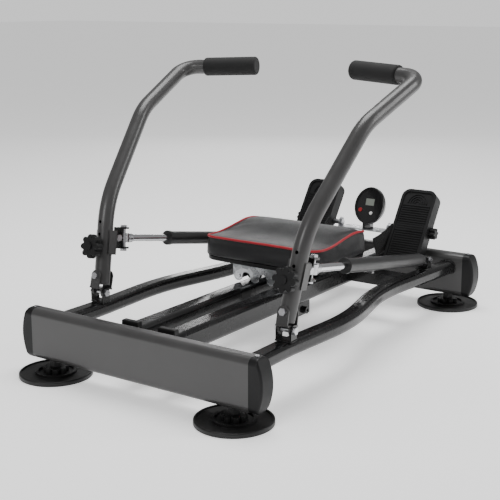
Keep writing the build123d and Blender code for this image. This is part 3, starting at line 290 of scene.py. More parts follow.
@dataclass
class PaintShop:
    """Makes the material of each finish and puts it on pieces."""

    effects: ShaderEffects
    made: Dict[str, Any] = field(default_factory=dict)
    cloud_size: float = 16.0
    cloud_range: Pair = (0.3, 0.7)
    bump_gain: float = 2.0
    bump_depth: float = 0.0006

    def place_group(self, tree: Any, name: str, source: Any, **values: float) -> Any:
        """Puts a shared effect in a material.

        Args:
            tree: the material's node tree.
            name: name of the effect.
            source: socket of the coordinates.
            values: values of the effect's inputs, with _ for a space.

        Returns:
            The group node.
        """
        node = tree.nodes.new("ShaderNodeGroup")
        node.node_tree = self.effects.groups[name]
        tree.links.new(source, node.inputs["Place"])
        for label, value in values.items():
            node.inputs[label.replace("_", " ")].default_value = value
        return node

    def relief(self, tree: Any, finish: Finish) -> Tuple[Any, Any, Any]:
        """Adds the effects that a finish's texture asks for.

        Args:
            tree: the material's node tree.
            finish: the finish.

        Returns:
            Sockets of the height, of the colour mix (the random tone; for webbing, painted shade
            in the weave's grooves and painted highlight on its ribs) and of the slow cloud.
        """
        where = tree.nodes.new("ShaderNodeTexCoord")
        solid, size = where.outputs["Object"], finish.grain_size
        grain = self.place_group(tree, "Grain", solid, Size=size, Cloud_Size=self.cloud_size)
        height, cloud = grain.outputs["Height"], grain.outputs["Cloud"]
        tone = cloud
        if finish.texture is Texture.HIDE:
            height = self.place_group(tree, "Hide", solid, Size=size).outputs["Height"]
        elif finish.texture is Texture.WOVEN:
            height = self.place_group(tree, "Weave", where.outputs["UV"]).outputs["Height"]
            # Painted shade and highlight: the webbing's colour follows the weave's height, darker
            # in the grooves and lighter on the ribs.
            tone = height
        elif finish.texture is Texture.ZINC:
            tone = self.place_group(tree, "Spangle", solid, Size=size).outputs["Flake"]
        return height, tone, cloud

    def make(self, finish: Finish) -> None:
        """Builds the material of one finish.

        Args:
            finish: the finish.
        """
        material = bpy.data.materials.new(finish.slot)
        material.use_nodes = True
        tree = material.node_tree
        shader = tree.nodes["Principled BSDF"]
        height, tone, cloud = self.relief(tree, finish)
        colour = tree.nodes.new("ShaderNodeMix")
        colour.data_type = "RGBA"
        colour.inputs[MIX_DARK].default_value = (*finish.dark, 1.0)
        colour.inputs[MIX_LIGHT].default_value = (*finish.light, 1.0)
        gloss = tree.nodes.new("ShaderNodeMapRange")
        for labels, values in (
            (("From Min", "From Max"), self.cloud_range),
            (("To Min", "To Max"), finish.rough),
        ):
            for label, value in zip(labels, values):
                gloss.inputs[label].default_value = value
        bump = tree.nodes.new("ShaderNodeBump")
        bump.inputs["Strength"].default_value = min(1.0, finish.grain_depth * self.bump_gain)
        bump.inputs["Distance"].default_value = self.bump_depth * finish.grain_depth
        tree.links.new(tone, colour.inputs[0])
        tree.links.new(cloud, gloss.inputs["Value"])
        tree.links.new(height, bump.inputs["Height"])
        tree.links.new(colour.outputs[MIX_RESULT], shader.inputs["Base Color"])
        tree.links.new(gloss.outputs["Result"], shader.inputs["Roughness"])
        tree.links.new(bump.outputs["Normal"], shader.inputs["Normal"])
        shader.inputs["Metallic"].default_value = finish.metallic
        shader.inputs["Coat Weight"].default_value = finish.coat
        shader.inputs["Coat Roughness"].default_value = finish.coat_rough
        shader.inputs["Sheen Weight"].default_value = finish.sheen
        shader.inputs["Specular IOR Level"].default_value = finish.specular
        self.made[finish.slot] = material

    def build(self) -> None:
        """Makes every material."""
        for finish in finishes():
            self.make(finish)

    def paint(self, piece: Any, slot: str) -> None:
        """Puts the material of a slot on a piece, in place of any other."""
        piece.data.materials.clear()
        piece.data.materials.append(self.made[slot])


@dataclass
class CadDress:
    """Finishes of the CAD nodes that stay in view."""

    shop: PaintShop
    frame: Dict[str, Any]
    black_nodes: Tuple[str, ...] = ("link_left", "link_right")

    def build(self) -> None:
        """Gives each CAD node the material of its record slot, and the links black paint."""
        slots = {row["node"]: row["material_slot"] for row in self.frame["record"]["subparts"]}
        for name, node in self.frame["nodes"].items():
            slot = "black_paint" if name in self.black_nodes else slots[name]
            self.shop.paint(node, slot)
            LOG.info("node %s: %s", name, slot)


def plain_mesh(piece: Any) -> None:
    """Turns an object's mesh and modifiers into a plain mesh without modifiers.

    Args:
        piece: the object, with live modifiers.
    """
    graph = bpy.context.evaluated_depsgraph_get()
    mesh = bpy.data.meshes.new_from_object(
        piece.evaluated_get(graph), preserve_all_data_layers=True, depsgraph=graph)
    piece.modifiers.clear()
    piece.data = mesh
    mesh.name = piece.name


def shade_smooth(piece: Any) -> None:
    """Shades every face of a piece smooth."""
    for face in piece.data.polygons:
        face.use_smooth = True


def new_object(
    name: str, points: Iterable[Point], edges: Iterable[Edge], faces: Iterable[Sequence[int]]
) -> Any:
    """Makes a mesh object at the origin.

    Args:
        name: its name.
        points: its vertices.
        edges: its loose edges.
        faces: its faces.

    Returns:
        The linked object.
    """
    mesh = bpy.data.meshes.new(name)
    mesh.from_pydata(list(points), list(edges), list(faces))
    piece = bpy.data.objects.new(name, mesh)
    bpy.context.scene.collection.objects.link(piece)
    return piece


def mount(piece: Any, body: str) -> None:
    """Attaches a finished piece to the body it rides, and reports the piece.

    Args:
        piece: the piece.
        body: body it moves with.
    """
    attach(piece, body)
    LOG.info("piece %s: %d faces, on %s", piece.name, len(piece.data.polygons), body)


def middle_of(node: str) -> Vector:
    """Middle of a CAD node's box."""
    low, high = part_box(node)
    return (low + high) / 2


def plate_axes() -> Tuple[Vector, Vector]:
    """Directions up along the footplates and out of their tread."""
    along, out = math.cos(PLATE_SLOPE), math.sin(PLATE_SLOPE)
    return Vector((0.0, along, out)), Vector((0.0, -out, along))


@dataclass
class Repeats:
    """Geometry Nodes trees of what repeats along a path or on points."""

    shop: PaintShop
    trees: Dict[str, Any] = field(default_factory=dict)
    cord_sides: int = 12
    stitch_sides: int = 6
    turn_sides: int = 24
    crest_sides: int = 4
    bead_detail: int = 1
    bead_scale: Pair = (0.85, 1.1)
    bead_seed: int = 7
    spacer_sides: int = 32
    head_sides: int = 6
    head_drop: float = 0.0062

    def open_tree(self, name: str, **sizes: float) -> Any:
        """Starts a tree with a geometry input and named sizes.

        Args:
            name: name of the tree.
            sizes: values of its inputs, by name.

        Returns:
            The tree, with its input and output nodes in place.
        """
        tree = bpy.data.node_groups.new(name, "GeometryNodeTree")
        sockets = tree.interface
        sockets.new_socket("Geometry", in_out="INPUT", socket_type="NodeSocketGeometry")
        for label, value in sizes.items():
            socket = sockets.new_socket(label, in_out="INPUT", socket_type="NodeSocketFloat")
            socket.default_value = value
        sockets.new_socket("Material", in_out="INPUT", socket_type="NodeSocketMaterial")
        sockets.new_socket("Geometry", in_out="OUTPUT", socket_type="NodeSocketGeometry")
        tree.nodes.new("NodeGroupInput").name = "In"
        tree.nodes.new("NodeGroupOutput").name = "Out"
        self.trees[name] = tree
        return tree

    def close_tree(self, tree: Any, shape: Any) -> None:
        """Ends a tree in Realize Instances and Set Material.

        Args:
            tree: the tree.
            shape: socket of the finished geometry.
        """
        real = tree.nodes.new("GeometryNodeRealizeInstances")
        paint = tree.nodes.new("GeometryNodeSetMaterial")
        tree.links.new(shape, real.inputs[0])
        tree.links.new(real.outputs[0], paint.inputs["Geometry"])
        self.feed(tree, paint, Material="Material")
        tree.links.new(paint.outputs[0], tree.nodes["Out"].inputs[0])

    def feed(self, tree: Any, node: Any, **labels: str) -> None:
        """Links the tree's inputs to a node.

        Args:
            tree: the tree.
            node: the node.
            labels: name of the tree's input for each of the node's sockets.
        """
        for socket, label in labels.items():
            tree.links.new(tree.nodes["In"].outputs[label], node.inputs[socket])

    def even_path(self, tree: Any, spacing: str) -> Any:
        """Turns the input's edges into a curve of even steps.

        Args:
            tree: the tree.
            spacing: name of the input that holds the step.

        Returns:
            Socket of the curve.
        """
        path = tree.nodes.new("GeometryNodeMeshToCurve")
        even = tree.nodes.new("GeometryNodeResampleCurve")
        even.mode = "LENGTH"
        tree.links.new(tree.nodes["In"].outputs["Geometry"], path.inputs[0])
        tree.links.new(path.outputs[0], even.inputs["Curve"])
        self.feed(tree, even, Length=spacing)
        return even.outputs[0]

    def path_points(self, tree: Any) -> Any:
        """Puts points one pitch apart along the input's edges.

        Args:
            tree: the tree, which has an input named Pitch.

        Returns:
            The node with the points and their tangents.
        """
        points = tree.nodes.new("GeometryNodeCurveToPoints")
        points.mode = "EVALUATED"
        tree.links.new(self.even_path(tree, "Pitch"), points.inputs["Curve"])
        return points

    def mesh_points(self, tree: Any) -> Any:
        """Puts a point on each of the input's vertices.

        Args:
            tree: the tree.

        Returns:
            Socket of the points.
        """
        places = tree.nodes.new("GeometryNodeMeshToPoints")
        tree.links.new(tree.nodes["In"].outputs["Geometry"], places.inputs[0])
        return places.outputs[0]

    def copies(self, tree: Any, points: Any, shape: Any) -> Any:
        """Puts a copy of a shape on every point.

        Args:
            tree: the tree.
            points: socket of the points.
            shape: socket of the shape.

        Returns:
            The node of the copies.
        """
        seat = tree.nodes.new("GeometryNodeInstanceOnPoints")
        tree.links.new(points, seat.inputs["Points"])
        tree.links.new(shape, seat.inputs["Instance"])
        return seat

    def cord(self) -> None:
        """Makes a round cord along a path."""
        tree = self.open_tree("Cord", Radius=0.0033, Step=0.003)
        nodes, links = tree.nodes, tree.links
        ring = nodes.new("GeometryNodeCurvePrimitiveCircle")
        ring.inputs["Resolution"].default_value = self.cord_sides
        self.feed(tree, ring, Radius="Radius")
        skin = nodes.new("GeometryNodeCurveToMesh")
        smooth = nodes.new("GeometryNodeSetShadeSmooth")
        links.new(self.even_path(tree, "Step"), skin.inputs["Curve"])
        links.new(ring.outputs[0], skin.inputs["Profile Curve"])
        links.new(skin.outputs[0], smooth.inputs["Geometry"])
        self.close_tree(tree, smooth.outputs[0])

    def stitches(self) -> None:
        """Makes short raised stitches along a path."""
        tree = self.open_tree("Stitches", Pitch=0.004, Length=0.0028, Radius=0.00045)
        nodes, links = tree.nodes, tree.links
        points = self.path_points(tree)
        stitch = nodes.new("GeometryNodeMeshCylinder")
        stitch.inputs["Vertices"].default_value = self.stitch_sides
        self.feed(tree, stitch, Depth="Length", Radius="Radius")
        align = nodes.new("FunctionNodeAlignRotationToVector")
        align.axis = "Z"
        links.new(points.outputs["Tangent"], align.inputs["Vector"])
        seat = self.copies(tree, points.outputs["Points"], stitch.outputs["Mesh"])
        links.new(align.outputs[0], seat.inputs["Rotation"])
        self.close_tree(tree, seat.outputs[0])

    def thread(self) -> None:
        """Makes the turns of a screw thread along a straight path."""
        tree = self.open_tree("Thread", Pitch=0.0018, Radius=0.0081, Crest=0.0005)
        nodes, links = tree.nodes, tree.links
        points = self.path_points(tree)
        ring = nodes.new("GeometryNodeCurveToMesh")
        for sides, size, socket in (
            (self.turn_sides, "Radius", "Curve"),
            (self.crest_sides, "Crest", "Profile Curve"),
        ):
            circle = nodes.new("GeometryNodeCurvePrimitiveCircle")
            circle.inputs["Resolution"].default_value = sides
            self.feed(tree, circle, Radius=size)
            links.new(circle.outputs[0], ring.inputs[socket])
        seat = self.copies(tree, points.outputs["Points"], ring.outputs[0])
        self.close_tree(tree, seat.outputs[0])

    def bead(self) -> None:
        """Makes the overlapping ripples of a weld bead along a path."""
        tree = self.open_tree("Weld bead", Pitch=0.0022, Radius=0.0021)
        nodes, links = tree.nodes, tree.links
        points = self.path_points(tree)
        ripple = nodes.new("GeometryNodeMeshIcoSphere")
        ripple.inputs["Subdivisions"].default_value = self.bead_detail
        self.feed(tree, ripple, Radius="Radius")
        smooth = nodes.new("GeometryNodeSetShadeSmooth")
        links.new(ripple.outputs["Mesh"], smooth.inputs["Geometry"])
        uneven = nodes.new("FunctionNodeRandomValue")
        uneven.data_type = "FLOAT"
        uneven.inputs["Min"].default_value = self.bead_scale[0]
        uneven.inputs["Max"].default_value = self.bead_scale[1]
        uneven.inputs["Seed"].default_value = self.bead_seed
        seat = self.copies(tree, points.outputs["Points"], smooth.outputs[0])
        scale = next(socket for socket in uneven.outputs if socket.enabled)
        links.new(scale, seat.inputs["Scale"])
        self.close_tree(tree, seat.outputs[0])

    def spacers(self) -> None:
        """Makes round spacers, each over a hexagon head, on a mesh's points."""
        tree = self.open_tree("Spacers", Radius=0.011, Height=0.003, Head=0.0065)
        nodes, links = tree.nodes, tree.links
        points = self.mesh_points(tree)
        join = nodes.new("GeometryNodeJoinGeometry")
        for sides, size, drop in (
            (self.spacer_sides, "Radius", 0.0),
            (self.head_sides, "Head", self.head_drop),
        ):
            part = nodes.new("GeometryNodeMeshCylinder")
            part.inputs["Vertices"].default_value = sides
            self.feed(tree, part, Radius=size, Depth="Height")
            move = nodes.new("GeometryNodeTransform")
            move.inputs["Translation"].default_value = (0.0, 0.0, -drop)
            links.new(part.outputs["Mesh"], move.inputs["Geometry"])
            seat = self.copies(tree, points, move.outputs[0])
            links.new(seat.outputs[0], join.inputs[0])
        self.close_tree(tree, join.outputs[0])

    def ribs(self) -> None:
        """Makes raised ribs on a mesh's points, turned to a slope."""
        tree = self.open_tree("Ribs", Length=0.082, Width=0.0028, Height=0.0016, Slope=0.967)
        nodes, links = tree.nodes, tree.links
        size = nodes.new("ShaderNodeCombineXYZ")
        self.feed(tree, size, X="Length", Y="Width", Z="Height")
        bar = nodes.new("GeometryNodeMeshCube")
        links.new(size.outputs[0], bar.inputs["Size"])
        turn = nodes.new("ShaderNodeCombineXYZ")
        self.feed(tree, turn, X="Slope")
        move = nodes.new("GeometryNodeTransform")
        links.new(bar.outputs["Mesh"], move.inputs["Geometry"])
        links.new(turn.outputs[0], move.inputs["Rotation"])
        seat = self.copies(tree, self.mesh_points(tree), move.outputs[0])
        self.close_tree(tree, seat.outputs[0])

    def build(self) -> None:
        """Makes every tree once."""
        for make in (
            self.cord, self.stitches, self.thread, self.bead, self.spacers, self.ribs
        ):
            make()

    def grow(
        self, name: str, points: Iterable[Point], edges: Iterable[Edge],
        tree: str, slot: str, body: str, **sizes: float
    ) -> Any:
        """Grows a piece from points and edges, as a plain mesh, and mounts it.

        Args:
            name: the piece's name.
            points: the points that the tree follows.
            edges: the edges that the tree follows.
            tree: name of the tree.
            slot: slot of the piece's finish.
            body: body it moves with.
            sizes: values of the tree's inputs, by name.

        Returns:
            The piece.
        """
        piece = new_object(name, points, edges, [])
        modifier = piece.modifiers.new("Repeat", "NODES")
        modifier.node_group = self.trees[tree]
        values = {"Material": self.shop.made[slot], **sizes}
        for socket in modifier.node_group.interface.items_tree:
            if socket.in_out == "INPUT" and socket.name in values:
                modifier[socket.identifier] = values[socket.name]
        plain_mesh(piece)
        mount(piece, body)
        return piece


@dataclass
class SeatPad:
    """Padded seat: the swollen cushion and the round piping on its edge."""

    shop: PaintShop
    repeats: Repeats
    frame: Dict[str, Any]
    weld_distance: float = 1e-5
    voxel: float = 0.005
    shrink: float = 0.0015
    board_depth: float = 0.006
    swell_cap: float = 0.004
    pressure: float = 4.0
    frames: int = 20
    smooth_factor: float = 0.5
    smooth_rounds: int = 8
    piping_radius: float = 0.0030
    stations: int = 180
    side_from: float = 0.1
    crown: float = 0.003
    seam_drop: float = 0.0005
    inset_share: float = 0.95
    ray_start: float = 1.0
    least_height: float = 1e-4
    least_step: float = 1e-6
    edge_probe: float = 0.010
    proud_share: float = 0.45
    path_smoothing: int = 3

    def seam_path(self) -> List[Vector]:
        """Cuts the piping node by upright planes all round the seat's middle.

        Returns:
            The node's middle line.
        """
        middle = middle_of("seat_piping")
        mesh = self.frame["nodes"]["seat_piping"].data
        corners = [vertex.co - middle for vertex in mesh.vertices]
        ends = [(corners[a], corners[b]) for a, b in (edge.vertices for edge in mesh.edges)]
        path = []
        for number in range(self.stations):
            angle = 2 * math.pi * number / self.stations
            ahead = Vector((math.cos(angle), math.sin(angle), 0.0))
            across = Vector((-ahead.y, ahead.x, 0.0))
            reaches, heights = [], []
            for start, stop in ends:
                one, two = start.dot(across), stop.dot(across)
                if (one > 0) == (two > 0):
                    continue
                point = start + (stop - start) * (one / (one - two))
                if point.dot(ahead) > 0:
                    reaches.append(point.dot(ahead))
                    heights.append(point.z)
            if reaches:
                reach = (min(reaches) + max(reaches)) / 2
                height = (min(heights) + max(heights)) / 2
                path.append(middle + ahead * reach + Vector((0.0, 0.0, height)))
        return path

    def seated(self, pad: Any) -> List[Vector]:
        """Lays the seam path on the upper edge of the finished pad.

        Args:
            pad: the finished cushion.

        Returns:
            The piping's middle line.
        """
        middle = middle_of("seat_piping")
        tree = BVHTree.FromObject(pad, bpy.context.evaluated_depsgraph_get())
        path = []
        for point in self.seam_path():
            out = Vector((point.x - middle.x, point.y - middle.y, 0.0)).normalized()
            place, facing = tree.find_nearest(point + (out + UP) * self.edge_probe)[:2]
            path.append(place + facing * self.piping_radius * self.proud_share)
        count = len(path)
        for _ in range(self.path_smoothing):
            path = [
                (path[i - 1] + path[i] * 2 + path[(i + 1) % count]) / 4 for i in range(count)]
        return path

    def remeshed(self) -> Any:
        """Makes an even mesh of the CAD cushion, drawn in a little so that it can swell.

        Returns:
            The pad.
        """
        source = self.frame["nodes"]["seat_cushion"]
        shape = bmesh.new()
        shape.from_mesh(source.data)
        bmesh.ops.remove_doubles(shape, verts=shape.verts, dist=self.weld_distance)
        pad = new_object("seat_pad", [], [], [])
        shape.to_mesh(pad.data)
        shape.free()
        remesh = pad.modifiers.new("Even mesh", "REMESH")
        remesh.mode = "VOXEL"
        remesh.voxel_size = self.voxel
        plain_mesh(pad)
        for vertex in pad.data.vertices:
            vertex.co -= vertex.normal * self.shrink
        return pad

    def simulate(self, pad: Any) -> None:
        """Swells the pad by cloth pressure, keeps its underside and caps how far it moves.

        Args:
            pad: the remeshed cushion.
        """
        rest = [v.co.copy() for v in pad.data.vertices]
        floor = min(p.z for p in rest)
        pinned = pad.vertex_groups.new(name="Board")
        board = [i for i, p in enumerate(rest) if p.z < floor + self.board_depth]
        pinned.add(board, 1.0, "ADD")
        cloth = pad.modifiers.new("Cloth", "CLOTH")
        cloth.settings.use_pressure = True
        cloth.settings.uniform_pressure_force = self.pressure
        cloth.settings.vertex_group_mass = "Board"
        cloth.settings.effector_weights.gravity = 0.0
        cloth.point_cache.frame_start = 1
        cloth.point_cache.frame_end = self.frames
        for number in range(1, self.frames + 1):
            bpy.context.scene.frame_set(number)
        plain_mesh(pad)
        bpy.context.scene.frame_set(1)
        for vertex, start in zip(pad.data.vertices, rest):
            move = vertex.co - start
            if move.length > self.swell_cap:
                vertex.co = start + move.normalized() * self.swell_cap

    def seam_height(self, sides: Sequence[Pair], y: float) -> float:
        """Reads the height of the seam along the seat's sides.

        Args:
            sides: places and heights along the sides, from the rear.
            y: where.

        Returns:
            The height there.
        """
        if y <= sides[0][0]:
            return sides[0][1]
        for (near, low), (far, high) in zip(sides, sides[1:]):
            if near <= y <= far:
                return low + (high - low) * (y - near) / max(far - near, self.least_step)
        return sides[-1][1]

    def meet_seam(self, pad: Any) -> None:
        """Scales the pad's height so that its top meets the seam, with a slight crown.

        Args:
            pad: the swollen cushion.
        """
        sides = sorted((p.y, p.z) for p in self.seam_path() if abs(p.x) > self.side_from)
        low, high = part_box("seat_cushion")
        middle, half = (low + high) / 2, (high - low) / 2
        tree = BVHTree.FromObject(pad, bpy.context.evaluated_depsgraph_get())
        heights = []
        for vertex in pad.data.vertices:
            x, y = vertex.co.x - middle.x, vertex.co.y - middle.y
            inner_x, inner_y = middle.x + x * self.inset_share, middle.y + y * self.inset_share
            above = Vector((inner_x, inner_y, high.z + self.ray_start))
            hit = tree.ray_cast(above, -UP)[0]
            old = hit.z if hit else vertex.co.z
            swell = max(0.0, 1.0 - (x / half.x) ** 2) * max(0.0, 1.0 - (y / half.y) ** 2)
            new = self.seam_height(sides, vertex.co.y) - self.seam_drop + self.crown * swell
            rise = (vertex.co.z - low.z) * (new - low.z)
            heights.append(low.z + rise / max(old - low.z, self.least_height))
        for vertex, height in zip(pad.data.vertices, heights):
            vertex.co.z = height

    def finish_pad(self, pad: Any) -> None:
        """Smooths the pad and gives it a finer, smooth-shaded mesh.

        Args:
            pad: the cushion at its final height.
        """
        smooth = pad.modifiers.new("Smooth", "SMOOTH")
        smooth.factor = self.smooth_factor
        smooth.iterations = self.smooth_rounds
        fine = pad.modifiers.new("Fine", "SUBSURF")
        fine.levels = 1
        fine.render_levels = 1
        plain_mesh(pad)
        shade_smooth(pad)

    def build(self) -> None:
        """Makes the cushion and the piping in place of their CAD nodes."""
        pad = self.remeshed()
        self.simulate(pad)
        self.meet_seam(pad)
        self.finish_pad(pad)
        self.shop.paint(pad, "seat_vinyl")
        seam = self.seated(pad)
        count = len(seam)
        loop = [(i, (i + 1) % count) for i in range(count)]
        piping = self.repeats.grow(
            "seat_piping_cord", [tuple(p) for p in seam], loop,
            "Cord", "red_piping", "seat", Radius=self.piping_radius)
        mount(pad, "seat")
        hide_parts("seat_cushion")
        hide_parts("seat_piping")


@dataclass
class Straps:
    """Webbing straps that stand free of the footplates' inner sides."""

    shop: PaintShop
    repeats: Repeats
    frame: Dict[str, Any]
    across: int = 20
    along: int = 36
    thickness: float = 0.0024
    droop: float = math.radians(58.0)
    inset: float = 0.0015
    flare_gap: float = 0.003
    ripple: float = 0.0006
    ripple_along: float = 9.0
    ripple_across: float = 2.0
    edge_radius: float = 0.0006
    edge_segments: int = 2
    stitch_proud: float = 0.0003

    def middle_sheet(self, side: str, sign: float) -> List[List[Vector]]:
        """Lays rows of points over the CAD strap's outer face, flaring away from the plate.

        Args:
            side: left or right.
            sign: the side's direction along x.

        Returns:
            The rows of points.
        """
        node = self.frame["nodes"][f"footplate_strap_{side}"]
        points = [v.co.copy() for v in node.data.vertices]
        upslope, facing = plate_axes()
        run = facing * math.cos(self.droop) - upslope * math.sin(self.droop)
        width = run.cross(Vector((1.0, 0.0, 0.0)))
        first, last = min(p.dot(run) for p in points), max(p.dot(run) for p in points)
        low, high = min(p.dot(width) for p in points), max(p.dot(width) for p in points)
        inner, outer = min(abs(p.x) for p in points), max(abs(p.x) for p in points)
        rows = []
        for step in range(self.along + 1):
            share = step / self.along
            flare = (outer - inner - self.flare_gap) * (share * share)
            x = sign * (outer - self.inset - flare)
            row = []
            for number in range(self.across + 1):
                across = low + (high - low) * number / self.across
                phase = self.ripple_along * share + self.ripple_across * number / self.across
                point = run * (first + (last - first) * share) + width * across
                row.append(Vector((x + self.ripple * math.sin(phase), point.y, point.z)))
            rows.append(row)
        return rows

    def webbing(self, side: str, rows: List[List[Vector]]) -> None:
        """Makes the webbing of one strap.

        Args:
            side: left or right.
            rows: the rows of points of its middle sheet.
        """
        wide = self.across + 1
        points = [tuple(p) for row in rows for p in row]
        corners = [
            step * wide + number for step in range(self.along) for number in range(self.across)]
        faces = [(c, c + 1, c + wide + 1, c + wide) for c in corners]
        strap = new_object(f"strap_webbing_{side}", points, [], faces)
        layer = strap.data.uv_layers.new(name="Weave")
        for loop in strap.data.loops:
            number, step = loop.vertex_index % wide, loop.vertex_index // wide
            layer.data[loop.index].uv = (number / self.across, step / self.along)
        body = strap.modifiers.new("Body", "SOLIDIFY")
        body.thickness = self.thickness
        body.offset = 0.0
        soft = strap.modifiers.new("Edge", "BEVEL")
        soft.width = self.edge_radius
        soft.segments = self.edge_segments
        plain_mesh(strap)
        shade_smooth(strap)
        self.shop.paint(strap, "webbing")
        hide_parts(f"footplate_strap_{side}")
        mount(strap, f"footplate_{side}")

    def stitches(self, side: str, rows: List[List[Vector]]) -> None:
        """Makes the stitches along both edges of one strap.

        Args:
            side: left or right.
            rows: the rows of points of its middle sheet.
        """
        points: List[Point] = []
        edges: List[Edge] = []
        for column in (1, self.across - 1):
            start = len(points)
            points += [tuple(row[column]) for row in rows[1:self.along]]
            edges += [(i, i + 1) for i in range(start, len(points) - 1)]
        self.repeats.grow(
            f"strap_stitches_{side}", points, edges, "Stitches", "webbing",
            f"footplate_{side}", Radius=self.thickness / 2 + self.stitch_proud)

    def build(self) -> None:
        """Makes both straps with their stitches."""
        for side, sign in SIDES:
            rows = self.middle_sheet(side, sign)
            self.webbing(side, rows)
            self.stitches(side, rows)


@dataclass
class TreadRibs:
    """Ribs of the footplates' tread over the hub, where it crosses the tread."""

    repeats: Repeats
    pivot: Point = (0.1545, 0.485, 0.203)
    lift: float = 0.0304
    rises: Tuple[float, ...] = (0.010, 0.003, -0.004, -0.011)

    def build(self) -> None:
        """Makes the ribs of both footplates."""
        upslope, facing = plate_axes()
        for side, sign in SIDES:
            pivot = Vector((sign * self.pivot[0], self.pivot[1], self.pivot[2]))
            places = [tuple(pivot + facing * self.lift + upslope * rise) for rise in self.rises]
            self.repeats.grow(
                f"tread_ribs_{side}", places, [],
                "Ribs", "black_plastic", f"footplate_{side}", Slope=PLATE_SLOPE)


@dataclass(frozen=True)
class Bead:
    """Run of one weld bead: a rounded rectangle."""

    size: Pair
    corner: float


@dataclass
class WeldBeads:
    """Painted weld beads where the rails, the track and the brackets join the frame."""

    repeats: Repeats
    face: float = 0.4925
    stand_off: float = 0.0006
    corner_steps: int = 6
    rail_rear_x: float = 0.265
    rail_front_x: float = 0.2572
    rail_height: float = 0.114
    rail_bead: Bead = Bead((0.0446, 0.0346), 0.0123)
    track_x: float = 0.051
    track_height: float = 0.11575
    track_bead: Bead = Bead((0.052, 0.052), 0.0113)
    bracket_level: float = 0.1314
    arm_bracket: Pair = (0.265, -0.345)
    arm_bracket_turn: float = math.radians(2.9)
    arm_bracket_bead: Bead = Bead((0.0390, 0.0244), 0.0015)
    swivel_bracket: Pair = (0.238, 0.388)
    swivel_bracket_bead: Bead = Bead((0.0344, 0.0584), 0.006)

    def ring(self, bead: Bead) -> List[Pair]:
        """Lays out a rounded rectangle as a ring of points.

        Args:
            bead: its size and corner radius.

        Returns:
            The points, in order.
        """
        points = []
        radius = bead.corner
        across, up = bead.size[0] / 2 - radius, bead.size[1] / 2 - radius
        corners = ((across, up), (-across, up), (-across, -up), (across, -up))
        for quarter, (x, y) in enumerate(corners):
            for step in range(self.corner_steps + 1):
                angle = math.pi / 2 * (quarter + step / self.corner_steps)
                points.append((x + radius * math.cos(angle), y + radius * math.sin(angle)))
        return points

    def rings(self) -> List[List[Point]]:
        """Places every bead of the frame.

        Returns:
            The ring of each bead, left side first.
        """
        rings = []
        for side in (-1, 1):
            for end, rail_x in ((-1, self.rail_rear_x), (1, self.rail_front_x)):
                y = end * (self.face - self.stand_off)
                for middle, level, bead in (
                    (rail_x, self.rail_height, self.rail_bead),
                    (self.track_x, self.track_height, self.track_bead),
                ):
                    rings.append([(side * middle + x, y, level + z) for x, z in self.ring(bead)])
            for (out, along), turn, bead in (
                (self.arm_bracket, side * self.arm_bracket_turn, self.arm_bracket_bead),
                (self.swivel_bracket, 0.0, self.swivel_bracket_bead),
            ):
                cos, sin = math.cos(turn), math.sin(turn)
                rings.append([
                    (side * out + x * cos - y * sin, along + x * sin + y * cos, self.bracket_level)
                    for x, y in self.ring(bead)])
        return rings

    def build(self) -> None:
        """Makes all the beads as one piece on the frame."""
        points: List[Point] = []
        edges: List[Edge] = []
        for ring in self.rings():
            start, count = len(points), len(ring)
            points += ring
            edges += [(start + i, start + (i + 1) % count) for i in range(count)]
        self.repeats.grow("frame_weld_beads", points, edges, "Weld bead", "black_paint", "frame")


@dataclass
class SeatMounts:
    """Spacers and bolt heads that hold the seat's board on the carriage."""

    repeats: Repeats
    reach: Pair = (0.062, 0.072)

    def build(self) -> None:
        """Fills the gap between the carriage and the board with four spacers."""
        low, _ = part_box("seat_pan")
        carriage_low, carriage_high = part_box("seat_carriage")
        middle_y = (carriage_low.y + carriage_high.y) / 2
        gap = low.z - carriage_high.z
        level = carriage_high.z + gap / 2
        away, along = self.reach
        places = [(x, middle_y + y, level) for x in (-away, away) for y in (-along, along)]
        self.repeats.grow(
            "seat_spacers", places, [], "Spacers", "bolt_steel", "seat", Height=gap)


@dataclass
class FootScrews:
    """Threads on the stems of the levelling feet."""

    repeats: Repeats
    spacing: Pair = (0.2501, 0.5147)
    bottom: float = 0.0345
    top: float = 0.0600
    radius: float = 0.0078
    crest: float = 0.0003

    def build(self) -> None:
        """Makes one threaded sleeve for each foot."""
        for end, y in (("rear", -self.spacing[1]), ("front", self.spacing[1])):
            for side, sign in SIDES:
                x = sign * self.spacing[0]
                line = [(x, y, self.bottom), (x, y, self.top)]
                self.repeats.grow(
                    f"foot_thread_{end}_{side}", line, [(0, 1)], "Thread", "bolt_steel",
                    f"foot_{end}_{side}", Radius=self.radius, Crest=self.crest)


@dataclass(frozen=True)
class Lamp:
    """One area light: where it stands and faces, its size in metres and power in watts."""

    name: str
    place: Point
    target: Point
    size: Pair
    power: float


